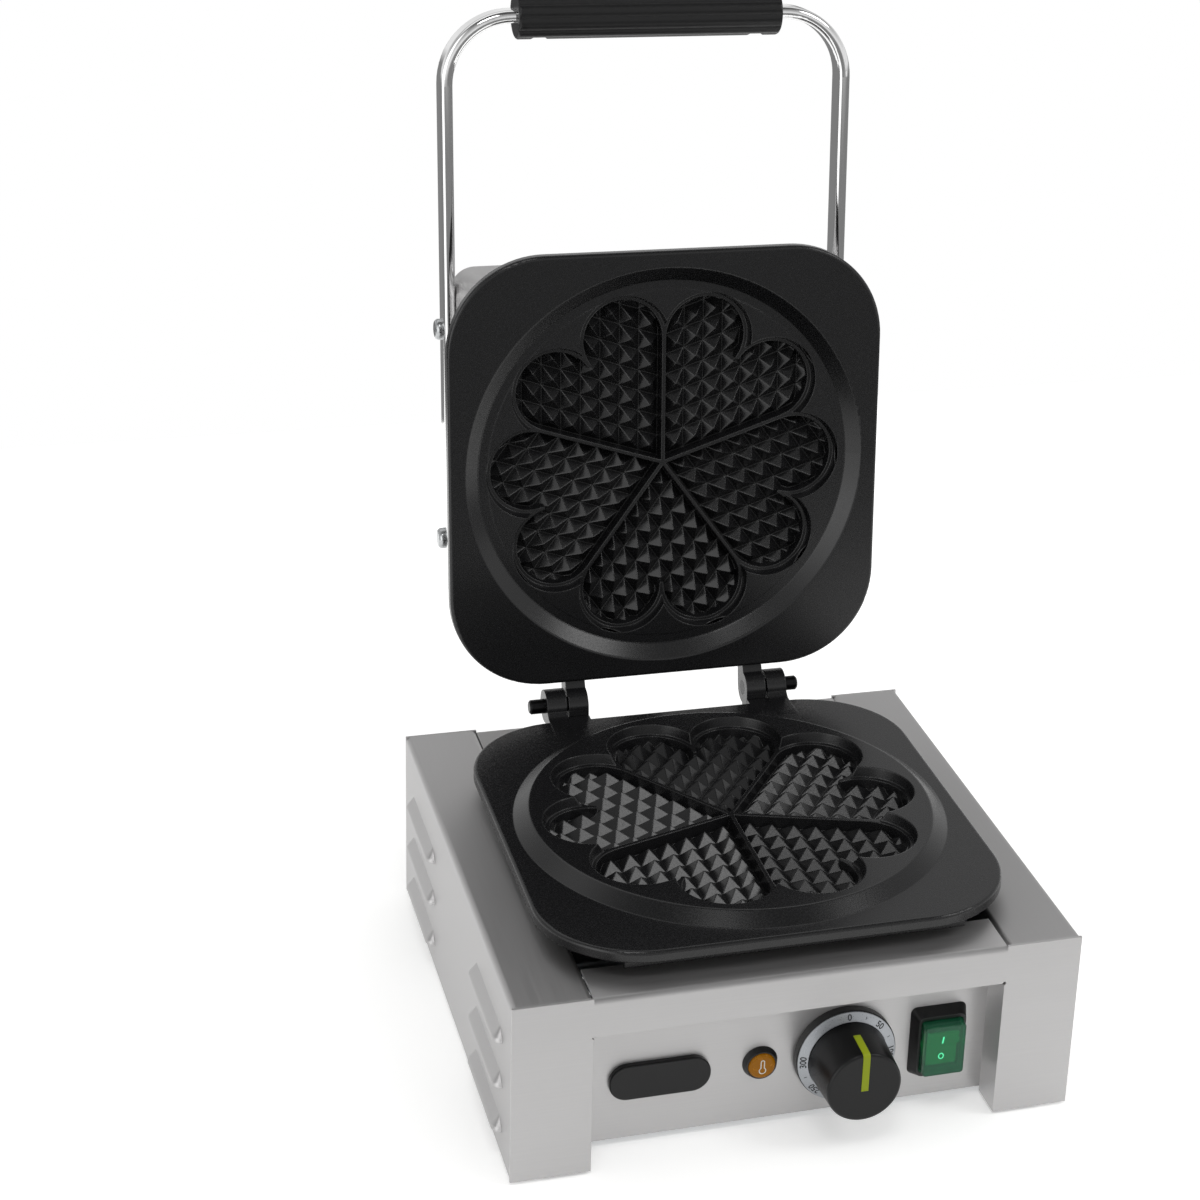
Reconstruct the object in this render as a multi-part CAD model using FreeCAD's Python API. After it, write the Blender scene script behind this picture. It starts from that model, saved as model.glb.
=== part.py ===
import FreeCAD, Part
import math
import os

from FreeCAD import Placement, Rotation, Vector

# Heart waffle maker. Millimetres, X to the right, Y to the back, Z up.
# The origin is the middle of the table area under the base. The lid stands open.

# Base housing
BASE_WIDTH = 250.0
BASE_DEPTH = 243.0
BASE_HEIGHT = 84.5
FOOT_THICKNESS = 1.5
FOOT_RADIUS = 6.0
FOOT_EDGE = 0.4
SHEET = 1.2
BEND_RADIUS = 2.4
CORE_SIDE_GAP = 5.0
CORE_END_GAP = 4.5
LEDGE_DOWNTURN = 14.0
FLOOR_RETURN = 14.0
STRIP_DROP = 0.6
RECESS_DEPTH = 17.0
HEADER_HEIGHT = 18.5
PANEL_LAP = 3.0
PANEL_FOOT_GAP = 2.2
RELIEF_NOTCH = 1.6
SHEET_GAP = 0.2
FLOOR_SCREW_FRONT_GAP = 30.0
FLOOR_SCREW_REAR_GAP = 50.0
VENT_LENGTH = 32.0
VENT_WIDTH = 4.0
VENT_ROUND = 1.9
VENT_PITCH = 14.0
VENT_COLUMN_PITCH = 50.0
VENT_ROWS = 5

# Louvres in the side panels
LOUVRE_LENGTH = 58.0
LOUVRE_HEIGHT = 8.0
LOUVRE_BULGE = 3.6
LOUVRE_LIP = 1.4
LOUVRE_PITCH = 22.0
LOUVRE_FIRST_Z = 17.0
LOUVRE_ROWS = 3
LOUVRE_END_GAP = 17.5

# Cooking plates
PLATE_SIZE = 210.0
PLATE_MID_Y = -7.0
PLATE_CORNER = 46.0
FLANGE_THICKNESS = 5.0
FLANGE_LIFT = 7.8
PLATEAU_HEIGHT = 5.0
PLATEAU_EDGE = 1.5
PLATEAU_SPREAD = 7.0
FLANGE_BORDER = 7.0
FLANGE_EDGE = 1.5
CORE_INSET = 5.0
CORE_BELOW_FLOOR = 11.0
PLATE_GAP = 0.4
FLANGE_GAP = 1.0
SKIRT_END_GAP = 30.0
SKIRT_DEPTH = 4.0
SKIRT_HEIGHT = 3.0
SKIRT_SETBACK = 3.2

# Flower of hearts
HEARTS = 5
LAND_BORDER = 4.4
RIB_WIDTH = 1.8
RIB_DROP = 4.8
CAVITY_DEPTH = 6.0
CAVITY_DRAFT = 7.0
STEP_MARGIN = 0.8
WALL_FLARE = 1.2
STUD_PITCH = 9.4
STUD_HEIGHT = 5.0
GROOVE_FLOOR = 0.4

# Hinge
HINGE_BEHIND_PLATE = 11.6
HINGE_ABOVE_FLANGE = 2.7
LID_OPEN_ANGLE = 94.8
KNUCKLE_RADIUS = 8.0
PIN_RADIUS = 3.5
PIN_RUNNING_CLEARANCE = 0.05
PIN_SEAT_CLEARANCE = 0.01
PIN_PROUD = 7.4
PIN_CHAMFER = 0.8
LUG_OUTER_X = 60.0
LUG_WIDTH = 9.6
LUG_GAP = 1.0
LUG_TOE = 16.0
LUG_RISE = 0.5
LUG_ROUND = 3.0
LUG_COVER_GAP = 2.0
HEEL_LENGTH = 10.0
HEEL_GAP = 0.5
HEEL_ROUND = 1.0

# Heating elements
ELEMENT_RADIUS = 3.25
ELEMENT_INSET = 28.0
ELEMENT_LEG_SPACING = 11.4
ELEMENT_BEND_RADIUS = 6.5
ELEMENT_LEG = 9.0
GROOVE_CLEARANCE = 0.5
CLAMP_THICKNESS = 2.0
CLAMP_REACH = 12.0
CLAMP_SCREWS = 4

# Lower plate carriers
BOSS_RADIUS = 7.0
BOSS_EDGE_GAP = 0.8
BOSS_HEIGHT = 8.5
RAIL_SHEET = 1.5
RAIL_WIDTH = 24.0
RAIL_LIP = 7.0
SHIELD_SHEET = 0.8
SHIELD_DROP = 14.0
SHIELD_SIDE_GAP = 16.0
PAD_THICKNESS = 5.0
PAD_MARGIN = 6.0

# Lid
COVER_SIDE_INSET = 12.0
COVER_INSET = 16.0
COVER_HEIGHT = 53.0
COVER_CORNER = 12.0
COVER_EDGE = 4.0
STANDOFF_INSET = 9.6
STANDOFF_RADIUS = 5.0
LID_PAD_THICKNESS = 20.0

# Handle
HANDLE_BEHIND_FACE = 45.0
HANDLE_THICKNESS = 6.0
HANDLE_DEPTH = 13.0
HANDLE_EDGE = 2.8
HANDLE_REACH = 103.0
ARM_TAIL = 38.0
ARM_SCREW_FRONT = 43.3
ARM_SCREW_TAIL = 24.8
GRIP_LENGTH = 126.0
GRIP_END_GAP = 2.0
GRIP_FLUTES = 10
GRIP_CREST_RADIUS = 11.0
GRIP_VALLEY_RADIUS = 10.2
GRIP_END_ROUND = 1.5
GRIP_SLOT_CLEARANCE = 0.05
GRIP_SCREW_INSET = 11.0

# Controls, in a row across the recess from the left jamb to the right one
CONTROL_DROP = 2.0
BADGE_JAMB_GAP = 10.9
BADGE_WIDTH = 44.5
BADGE_HEIGHT = 17.0
BADGE_THICKNESS = 2.8
BADGE_CORNER = 8.2
BADGE_EDGE = 0.8
BADGE_LAMP_GAP = 14.5
LAMP_BEZEL_RADIUS = 7.9
LAMP_BEZEL_RIM_RADIUS = 6.7
LAMP_BEZEL_HEIGHT = 3.0
LAMP_LENS_RADIUS = 6.0
LAMP_LENS_HEIGHT = 4.2
LAMP_LENS_EDGE = 1.4
LAMP_BODY_RADIUS = 5.6
LAMP_BODY_LENGTH = 28.0
LAMP_NUT_THICKNESS = 4.0
LAMP_DIAL_GAP = 7.3
DIAL_BACKING_RADIUS = 22.6
DIAL_BACKING_THICKNESS = 4.2
DIAL_BACKING_EDGE = 0.6
SCALE_RADIUS = 22.2
SCALE_HOLE_RADIUS = 17.8
SCALE_EDGE = 0.4
SCALE_RISE = 1.6
KNOB_FOOT_RADIUS = 17.7
KNOB_FACE_RADIUS = 16.6
KNOB_LENGTH = 22.7
KNOB_EDGE = 1.5
KNOB_GAP = 0.5
KNOB_WALL = 2.2
KNOB_HUB_RADIUS = 6.5
POINTER_WIDTH = 3.2
POINTER_INLAY = 0.6
POINTER_PROUD = 0.15
POINTER_PAST_MIDDLE = 1.5
POINTER_SIDE_LENGTH = 14.0
SHAFT_RADIUS = 3.0
SHAFT_SEAT_CLEARANCE = 0.01
DIAL_SWITCH_GAP = 7.6
ROCKER_WIDTH = 13.6
ROCKER_HEIGHT = 19.0
ROCKER_TIP_ANGLE = 8.0
ROCKER_PIVOT_RADIUS = 1.2
ROCKER_PIVOT_DEPTH = 2.6
ROCKER_PROUD = 0.6
ROCKER_EDGE = 0.5
ROCKER_SIDE_GAP = 2.9
ROCKER_END_GAP = 3.7
BEZEL_SIDE_RIM = 1.1
BEZEL_END_RIM = 1.8
BEZEL_FLARE = 2.0
BEZEL_CORNER = 3.0
BEZEL_THICKNESS = 6.0
MOUTH_CORNER = 1.5
PIVOT_SEAT = 0.9
SWITCH_BODY_DEPTH = 24.0
SWITCH_CUT_MARGIN = 2.6
BOOT_PROUD = 4.5
BOOT_WALL = 0.8
BOOT_SIDE_TAPER = 0.3
BOOT_END_TAPER = 0.8
BOOT_FIT = 0.1
BOOT_CORNER = 1.4
SWITCH_JAMB_GAP = 9.6

# Thermostat and wiring pieces inside the base
THERMOSTAT_WIDTH = 46.0
THERMOSTAT_HEIGHT = 34.0
THERMOSTAT_DEPTH = 26.0
THERMOSTAT_BUSH_RADIUS = 5.5
THERMOSTAT_CORNER = 2.0
CAPILLARY_RADIUS = 1.2
CAPILLARY_EDGE_GAP = 4.0
CAPILLARY_LOOP = 30.0
CAPILLARY_BEND = 10.0
BULB_RADIUS = 3.0
BULB_END_GAP = 16.0
CLIP_SHEET = 1.0
CLIP_WIDTH = 12.0
CLIP_WING = 9.0
CUTOUT_GAP = 2.0
CUTOUT_RADIUS = 8.0
CUTOUT_HEIGHT = 9.0
BLADE_THICKNESS = 0.8
BLADE_WIDTH = 6.0
BLADE_LENGTH = 6.0
TERMINAL_LENGTH = 44.0
TERMINAL_DEPTH = 20.0
TERMINAL_HEIGHT = 16.0
TERMINAL_CORNER = 2.0
TERMINAL_WIRE_RADIUS = 2.2
TERMINAL_SCREW_RADIUS = 2.6
TERMINAL_REAR_GAP = 40.0
GLAND_RADIUS = 8.0
GLAND_HEX = 11.0
GLAND_THROAT = 4.5
GLAND_HEX_THICKNESS = 6.0
GLAND_NUT_THICKNESS = 4.0
GLAND_CAP_LENGTH = 10.0
GLAND_CAP_WALL = 1.0
GLAND_CAP_ROUND = 4.0
GLAND_THREAD = 8.0
MAINS_GLAND_SIDE_GAP = 45.0
MAINS_GLAND_Z = 26.0
LID_GLAND_Z = 58.0

# Fasteners
SMALL_SCREW = 2.0
ROUND_SCREW = 2.5
SCREW_FIT = 0.1
LOW_HEAD = 1.0
PAN_HEAD = 2.2
DOME_HEAD = 3.4

# Levels and places that follow from the sizes above
PLATEAU_FOOT_RADIUS = PLATE_SIZE / 2 - FLANGE_BORDER
PLATEAU_TOP_RADIUS = PLATEAU_FOOT_RADIUS - PLATEAU_SPREAD
CORE_RADIUS = PLATEAU_TOP_RADIUS - CORE_INSET
HALF_LOBE = math.pi / (2 * HEARTS)
FLOWER_RADIUS = PLATEAU_TOP_RADIUS - LAND_BORDER
LOBE_PITCH_RADIUS = (FLOWER_RADIUS - STEP_MARGIN - WALL_FLARE) / (1 + math.sin(HALF_LOBE))
STEP_LOBE_RADIUS = LOBE_PITCH_RADIUS * math.sin(HALF_LOBE) + STEP_MARGIN
ELEMENT_LOOP_RADIUS = CORE_RADIUS - ELEMENT_INSET
CLAMP_OUTER_RADIUS = ELEMENT_LOOP_RADIUS + CLAMP_REACH
CLAMP_INNER_RADIUS = ELEMENT_LOOP_RADIUS - CLAMP_REACH
BOSS_OFFSET = (CORE_RADIUS - BOSS_RADIUS - BOSS_EDGE_GAP) * math.cos(math.pi / 4)
STANDOFF_OFFSET = (CORE_RADIUS - STANDOFF_INSET) * math.cos(math.pi / 4)
BULB_LENGTH = 2 * (CLAMP_INNER_RADIUS - BULB_END_GAP)
HOUSING_Z = FOOT_THICKNESS
LEDGE_Z = HOUSING_Z + BASE_HEIGHT
LEDGE_INNER_X = CORE_RADIUS + CORE_SIDE_GAP
FRONT_Y = -BASE_DEPTH / 2
REAR_Y = BASE_DEPTH / 2
STRIP_Z = LEDGE_Z - STRIP_DROP
STRIP_REACH = CORE_RADIUS + CORE_END_GAP
RECESS_HEIGHT = BASE_HEIGHT - HEADER_HEIGHT
LOUVRE_MID_Y = BASE_DEPTH / 2 - LOUVRE_END_GAP - LOUVRE_LENGTH / 2
SHIELD_WIDTH = 2 * (LEDGE_INNER_X - SHIELD_SIDE_GAP)
MOUTH_WIDTH = ROCKER_WIDTH + 2 * ROCKER_SIDE_GAP
MOUTH_HEIGHT = ROCKER_HEIGHT + 2 * ROCKER_END_GAP
SWITCH_WIDTH = MOUTH_WIDTH + 2 * (BEZEL_SIDE_RIM + BEZEL_FLARE)
SWITCH_HEIGHT = MOUTH_HEIGHT + 2 * (BEZEL_END_RIM + BEZEL_FLARE)
BADGE_FROM_JAMB = BADGE_JAMB_GAP + BADGE_WIDTH / 2
LAMP_FROM_JAMB = BADGE_FROM_JAMB + BADGE_WIDTH / 2 + BADGE_LAMP_GAP + LAMP_BEZEL_RADIUS
DIAL_FROM_JAMB = LAMP_FROM_JAMB + LAMP_BEZEL_RADIUS + LAMP_DIAL_GAP + DIAL_BACKING_RADIUS
SWITCH_FROM_JAMB = DIAL_FROM_JAMB + DIAL_BACKING_RADIUS + DIAL_SWITCH_GAP + SWITCH_WIDTH / 2
RECESS_HALF = (SWITCH_FROM_JAMB + SWITCH_WIDTH / 2 + SWITCH_JAMB_GAP) / 2
BADGE_X = BADGE_FROM_JAMB - RECESS_HALF
LAMP_X = LAMP_FROM_JAMB - RECESS_HALF
DIAL_X = DIAL_FROM_JAMB - RECESS_HALF
SWITCH_X = SWITCH_FROM_JAMB - RECESS_HALF
CONTROL_Z = HOUSING_Z + RECESS_HEIGHT / 2 - CONTROL_DROP
PANEL_Y = FRONT_Y + RECESS_DEPTH
PANEL_BACK_Y = PANEL_Y + SHEET
FLOOR_Z = HOUSING_Z + SHEET
FLANGE_Z = LEDGE_Z + FLANGE_LIFT + FLANGE_THICKNESS
FLANGE_BOTTOM_Z = FLANGE_Z - FLANGE_THICKNESS
LAND_Z = FLANGE_Z + PLATEAU_HEIGHT
RIB_Z = LAND_Z - RIB_DROP
STUD_Z = RIB_Z - CAVITY_DEPTH
CORE_Z = STUD_Z - CORE_BELOW_FLOOR
MIRROR_Z = LAND_Z + PLATE_GAP / 2
FACE_Z = FLANGE_Z + FLANGE_GAP
LID_FLANGE_Z = FACE_Z + FLANGE_THICKNESS
LID_CORE_Z = 2 * MIRROR_Z - CORE_Z
PLATE_REAR_Y = PLATE_MID_Y + PLATE_SIZE / 2
PLATE_FRONT_Y = PLATE_MID_Y - PLATE_SIZE / 2
HINGE_Y = PLATE_REAR_Y + HINGE_BEHIND_PLATE
HINGE_Z = FLANGE_Z + HINGE_ABOVE_FLANGE
LID_LUG_OUTER_X = LUG_OUTER_X - LUG_WIDTH - LUG_GAP
CLAMP_Z = CORE_Z - CLAMP_THICKNESS
RAIL_Z = CORE_Z - BOSS_HEIGHT
SHIELD_Z = RAIL_Z - RAIL_SHEET - SHIELD_DROP
COVER_HALF_WIDTH = PLATE_SIZE / 2 - COVER_SIDE_INSET
COVER_TOP_Z = LID_FLANGE_Z + COVER_HEIGHT
COVER_FRONT_Y = PLATE_FRONT_Y + COVER_INSET
COVER_REAR_Y = PLATE_REAR_Y - COVER_INSET
HANDLE_Z = FACE_Z + HANDLE_BEHIND_FACE
ARM_X = COVER_HALF_WIDTH + HANDLE_THICKNESS / 2
ARM_TAIL_Y = PLATE_REAR_Y - ARM_TAIL
HANDLE_BEND_RADIUS = ARM_X - GRIP_LENGTH / 2 - GRIP_END_GAP
GRIP_Y = PLATE_FRONT_Y - HANDLE_REACH
BEZEL_Y = PANEL_Y - BEZEL_THICKNESS
ROCKER_PIVOT_Y = BEZEL_Y + ROCKER_PIVOT_DEPTH
KNOB_FOOT_Y = PANEL_Y - DIAL_BACKING_THICKNESS - SCALE_RISE - KNOB_GAP
KNOB_FACE_Y = KNOB_FOOT_Y - KNOB_LENGTH
PLATE_MIDDLE = Vector(0, PLATE_MID_Y, 0)

UP = Vector(0, 0, 1)
DOWN = Vector(0, 0, -1)
FORWARD = Vector(0, -1, 0)
BACKWARD = Vector(0, 1, 0)
RIGHT = Vector(1, 0, 0)
LEFT = Vector(-1, 0, 0)
SIDES = (("left", LEFT), ("right", RIGHT))


# Drawing helpers

def at(plane, u, v, offset):
    """Point of a drawing plane, named by its two axes, at an offset along the third axis."""
    if plane == "XY":
        return Vector(u, v, offset)
    if plane == "XZ":
        return Vector(u, offset, v)
    return Vector(offset, u, v)


def outline(plane, offset, corners):
    """Closed wire through corners (u, v, radius), with a tangent arc at each corner that has a radius."""
    count = len(corners)
    entries = []
    leaves = []
    arcs = []
    for index, (u, v, radius) in enumerate(corners):
        here = at(plane, u, v, offset)
        before = at(plane, *corners[index - 1][:2], offset) - here
        after = at(plane, *corners[(index + 1) % count][:2], offset) - here
        before.normalize()
        after.normalize()
        half = before.getAngle(after) / 2
        reach = radius / math.tan(half)
        entry = here + before * reach
        leave = here + after * reach
        arc = None
        if radius > 0:
            bisector = before + after
            bisector.normalize()
            middle = here + bisector * (radius / math.sin(half) - radius)
            arc = Part.Arc(entry, middle, leave).toShape()
        entries.append(entry)
        leaves.append(leave)
        arcs.append(arc)
    edges = []
    for index in range(count):
        if arcs[index]:
            edges.append(arcs[index])
        following = entries[(index + 1) % count]
        if leaves[index].distanceToPoint(following) > 1e-6:
            edges.append(Part.makeLine(leaves[index], following))
    return Part.Wire(edges)


def prism(plane, start, end, corners):
    """Solid of one outline, from start to end along the plane's normal."""
    face = Part.Face(outline(plane, start, corners))
    return face.extrude(at(plane, 0, 0, end - start))


def rectangle(u0, u1, v0, v1, radius=0.0):
    return [(u0, v0, radius), (u1, v0, radius), (u1, v1, radius), (u0, v1, radius)]


def block(x0, x1, y0, y1, z0, z1):
    return Part.makeBox(x1 - x0, y1 - y0, z1 - z0, Vector(x0, y0, z0))


def rod(radius, length, base, direction):
    return Part.makeCylinder(radius, length, base, direction)


def turned(corners, base, direction):
    """Solid of revolution: corners (radius, height, round) turned about a direction through base."""
    solid = Part.Face(outline("XZ", 0, corners)).revolve(Vector(), UP, 360)
    solid.Placement = Placement(base, Rotation(UP, direction))
    return solid


def fused(shapes):
    return shapes[0].multiFuse(shapes[1:]).removeSplitter()


def sheet_profile(points, thickness):
    """Corners of a bent sheet's section: points (u, v) along its outer side, the sheet on their left."""
    outer = [Vector(u, v, 0) for u, v in points]
    inner = []
    for index, here in enumerate(outer):
        normals = []
        for first, second in ((index - 1, index), (index, index + 1)):
            if first >= 0 and second < len(outer):
                run = outer[second] - outer[first]
                run.normalize()
                normals.append(Vector(-run.y, run.x, 0))
        shift = normals[0] if len(normals) == 1 else normals[0] + normals[1]
        inner.append(here + shift * thickness)
    last = len(outer) - 1
    corners = []
    for index, point in enumerate(outer):
        corners.append((point.x, point.y, BEND_RADIUS if 0 < index < last else 0.0))
    for index, point in reversed(list(enumerate(inner))):
        corners.append((point.x, point.y, BEND_RADIUS - thickness if 0 < index < last else 0.0))
    return corners


def bent_tube(radius, points, bends):
    """Round tube through points, with a tangent arc of the given radius at each inner point."""
    edges = []
    start = points[0]
    for index in range(1, len(points) - 1):
        here = points[index]
        before = points[index - 1] - here
        after = points[index + 1] - here
        before.normalize()
        after.normalize()
        half = before.getAngle(after) / 2
        reach = bends[index - 1] / math.tan(half)
        bisector = before + after
        bisector.normalize()
        middle = here + bisector * (bends[index - 1] / math.sin(half) - bends[index - 1])
        entry = here + before * reach
        edges.append(Part.makeLine(start, entry))
        start = here + after * reach
        edges.append(Part.Arc(entry, middle, start).toShape())
    edges.append(Part.makeLine(start, points[-1]))
    heading = points[1] - points[0]
    section = Part.Wire(Part.Circle(points[0], heading, radius).toShape())
    return Part.Wire(edges).makePipeShell([section], True, False)


def screw(radius, length, head, base, direction):
    """Screw whose head stands on base and whose shank runs along direction."""
    wide = 2 * radius
    corners = [
        (0, length, 0),
        (radius, length, 0),
        (radius, 0, 0),
        (wide, 0, 0),
        (wide, -head, 0.8 * min(head, radius)),
        (0, -head, 0),
    ]
    return turned(corners, base, direction)


def mirrored(shape):
    return shape.mirror(Vector(), RIGHT)


def opened(shape):
    """Lid piece, drawn closed, turned back to the open stop."""
    moved = shape.copy()
    moved.rotate(Vector(0, HINGE_Y, HINGE_Z), RIGHT, -LID_OPEN_ANGLE)
    return moved


def save(name, shape):
    shape.exportStep("parts/%s.step" % name)


def save_group(name, shapes):
    save(name, Part.makeCompound(shapes))


# Base housing

def louvre(y_mid, z_low, inset):
    """Pressed louvre hood on the right wall, open along its lower edge; inset gives its inner skin."""
    wall_x = BASE_WIDTH / 2 - SHEET
    bulge = SHEET + LOUVRE_BULGE - inset
    top = LOUVRE_HEIGHT - inset
    half = LOUVRE_LENGTH / 2 - LOUVRE_BULGE - SHEET
    section = [(0, 0, 0), (bulge, 0, 0), (bulge, LOUVRE_LIP, bulge / 2), (0, top, 0)]
    placed = [(wall_x + u, z_low + v, radius) for u, v, radius in section]
    hood = prism("XZ", y_mid - half, y_mid + half, placed)
    ends = []
    for y_end in (y_mid - half, y_mid + half):
        ends.append(turned(section, Vector(wall_x, y_end, z_low), UP))
    whole = fused([hood] + ends)
    reach = LOUVRE_LENGTH
    outside = block(wall_x, wall_x + reach, y_mid - reach, y_mid + reach, z_low, z_low + LOUVRE_HEIGHT)
    return whole.common(outside)


def side_panel():
    """Right side panel: floor return, wall, ledge and downturned inner edge bent from one sheet."""
    wall_x = BASE_WIDTH / 2
    section = [
        (wall_x - FLOOR_RETURN, HOUSING_Z),
        (wall_x, HOUSING_Z),
        (wall_x, LEDGE_Z),
        (LEDGE_INNER_X, LEDGE_Z),
        (LEDGE_INNER_X, LEDGE_Z - LEDGE_DOWNTURN),
    ]
    panel = prism("XZ", FRONT_Y + SHEET, REAR_Y - SHEET, sheet_profile(section, SHEET))
    skins = []
    hollows = []
    for row in range(LOUVRE_ROWS):
        z_low = HOUSING_Z + LOUVRE_FIRST_Z + row * LOUVRE_PITCH - LOUVRE_HEIGHT / 2
        for y_mid in (-LOUVRE_MID_Y, LOUVRE_MID_Y):
            skins.append(louvre(y_mid, z_low, 0.0))
            hollows.append(louvre(y_mid, z_low, SHEET))
    panel = panel.multiFuse(skins).cut(hollows)
    holes = []
    for y in rail_middles():
        for shift in (-RAIL_WIDTH / 4, RAIL_WIDTH / 4):
            start = Vector(LEDGE_INNER_X - SHEET, y + shift, rail_screw_level())
            holes.append(rod(SMALL_SCREW + SCREW_FIT, 3 * SHEET, start, RIGHT))
    for y in floor_screw_places():
        holes.append(rod(SMALL_SCREW + SCREW_FIT, 3 * SHEET, Vector(floor_screw_x(), y, HOUSING_Z - SHEET), UP))
    return panel.cut(holes).removeSplitter()


def front_panel():
    """Front sheet: two legs, a header with its top strip, and inward jambs round the control recess."""
    top_z = HOUSING_Z + RECESS_HEIGHT
    half = BASE_WIDTH / 2
    corners = [
        (-half, HOUSING_Z, 0),
        (-RECESS_HALF, HOUSING_Z, 0),
        (-RECESS_HALF, top_z, 0),
        (RECESS_HALF, top_z, 0),
        (RECESS_HALF, HOUSING_Z, 0),
        (half, HOUSING_Z, 0),
        (half, LEDGE_Z, 0),
        (LEDGE_INNER_X - SHEET_GAP, LEDGE_Z, 0),
        (LEDGE_INNER_X - SHEET_GAP, STRIP_Z - BEND_RADIUS, 0),
        (-LEDGE_INNER_X + SHEET_GAP, STRIP_Z - BEND_RADIUS, 0),
        (-LEDGE_INNER_X + SHEET_GAP, LEDGE_Z, 0),
        (-half, LEDGE_Z, 0),
    ]
    face = prism("XZ", FRONT_Y, FRONT_Y + SHEET, corners)
    pieces = [face, top_strip(FRONT_Y, 1)]
    notches = []
    for side in (-1, 1):
        jamb_x = sorted((side * RECESS_HALF, side * (RECESS_HALF + SHEET)))
        pieces.append(block(*jamb_x, FRONT_Y, PANEL_Y, HOUSING_Z, top_z - RELIEF_NOTCH))
        corner = Vector(side * RECESS_HALF, FRONT_Y - SHEET, top_z)
        notches.append(rod(RELIEF_NOTCH / 2, 3 * SHEET, corner, BACKWARD))
    header_half = RECESS_HALF - RELIEF_NOTCH
    pieces.append(block(-header_half, header_half, FRONT_Y, PANEL_Y, top_z, top_z + SHEET))
    return fused(pieces).cut(notches)


def top_strip(y_face, inward):
    """Strip bent back from the top of the front or rear sheet, between the two ledges."""
    width = LEDGE_INNER_X - SHEET_GAP
    end_y = PLATE_MID_Y - inward * STRIP_REACH
    points = [(y_face, STRIP_Z - BEND_RADIUS), (y_face, STRIP_Z), (end_y, STRIP_Z)]
    if inward > 0:
        points.reverse()
    return prism("YZ", -width, width, sheet_profile(points, SHEET))


def gland_places():
    """Middle and outer radius of each cable gland hole in the rear panel."""
    mains = Vector(BASE_WIDTH / 2 - MAINS_GLAND_SIDE_GAP, REAR_Y, HOUSING_Z + MAINS_GLAND_Z)
    lid_lead = Vector(0, REAR_Y, HOUSING_Z + LID_GLAND_Z)
    return mains, lid_lead


def rear_panel():
    half = BASE_WIDTH / 2
    inner = LEDGE_INNER_X - SHEET_GAP
    corners = [
        (-half, HOUSING_Z, 0),
        (half, HOUSING_Z, 0),
        (half, LEDGE_Z, 0),
        (inner, LEDGE_Z, 0),
        (inner, STRIP_Z - BEND_RADIUS, 0),
        (-inner, STRIP_Z - BEND_RADIUS, 0),
        (-inner, LEDGE_Z, 0),
        (-half, LEDGE_Z, 0),
    ]
    face = prism("XZ", REAR_Y - SHEET, REAR_Y, corners)
    holes = []
    for place in gland_places():
        holes.append(rod(GLAND_RADIUS + SCREW_FIT, 3 * SHEET, place - BACKWARD * 2 * SHEET, BACKWARD))
    return fused([face, top_strip(REAR_Y, -1)]).cut(holes)


def control_panel():
    """Sheet behind the recess, with the holes for lamp, thermostat and switch."""
    half = RECESS_HALF + PANEL_LAP
    top_z = HOUSING_Z + RECESS_HEIGHT + SHEET + PANEL_LAP
    sheet = block(-half, half, PANEL_Y, PANEL_BACK_Y, HOUSING_Z + PANEL_FOOT_GAP, top_z)
    start_y = PANEL_Y - SHEET
    holes = [
        rod(LAMP_BODY_RADIUS + SCREW_FIT, 3 * SHEET, Vector(LAMP_X, start_y, CONTROL_Z), BACKWARD),
        rod(THERMOSTAT_BUSH_RADIUS + SCREW_FIT, 3 * SHEET, Vector(DIAL_X, start_y, CONTROL_Z), BACKWARD),
        prism("XZ", start_y, PANEL_BACK_Y + SHEET, switch_cut(SCREW_FIT)),
    ]
    return sheet.cut(holes)


def switch_cut(grow):
    half_width = SWITCH_WIDTH / 2 - SWITCH_CUT_MARGIN + grow
    half_height = SWITCH_HEIGHT / 2 - SWITCH_CUT_MARGIN + grow
    return rectangle(
        SWITCH_X - half_width, SWITCH_X + half_width,
        CONTROL_Z - half_height, CONTROL_Z + half_height,
    )


def floor_screw_x():
    return BASE_WIDTH / 2 - SHEET - FLOOR_RETURN / 2


def floor_screw_places():
    return (PANEL_BACK_Y + FLOOR_SCREW_FRONT_GAP, REAR_Y - FLOOR_SCREW_REAR_GAP)


def floor_front_y():
    return PANEL_BACK_Y + SHEET_GAP


def bottom_plate():
    """Vented plate that lies on the side panels' floor returns."""
    half = BASE_WIDTH / 2 - BEND_RADIUS - SHEET_GAP
    plate = block(-half, half, floor_front_y(), REAR_Y - SHEET - SHEET_GAP, FLOOR_Z, FLOOR_Z + SHEET)
    cuts = []
    for column in (-1, 0, 1):
        x = column * VENT_COLUMN_PITCH
        for row in range(VENT_ROWS):
            y = PLATE_MID_Y + (row - (VENT_ROWS - 1) / 2) * VENT_PITCH
            slot = rectangle(x - VENT_LENGTH / 2, x + VENT_LENGTH / 2, y - VENT_WIDTH / 2, y + VENT_WIDTH / 2,
                             VENT_ROUND)
            cuts.append(prism("XY", FLOOR_Z - SHEET, FLOOR_Z + 2 * SHEET, slot))
    for x in (-floor_screw_x(), floor_screw_x()):
        for y in floor_screw_places():
            cuts.append(rod(SMALL_SCREW + SCREW_FIT, 3 * SHEET, Vector(x, y, FLOOR_Z - SHEET), UP))
    return plate.cut(cuts)


def floor_screws():
    low = HOUSING_Z
    shapes = []
    for x in (-floor_screw_x(), floor_screw_x()):
        for y in floor_screw_places():
            shapes.append(screw(SMALL_SCREW, 6 * SHEET, LOW_HEAD, Vector(x, y, low), UP))
    return shapes


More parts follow.
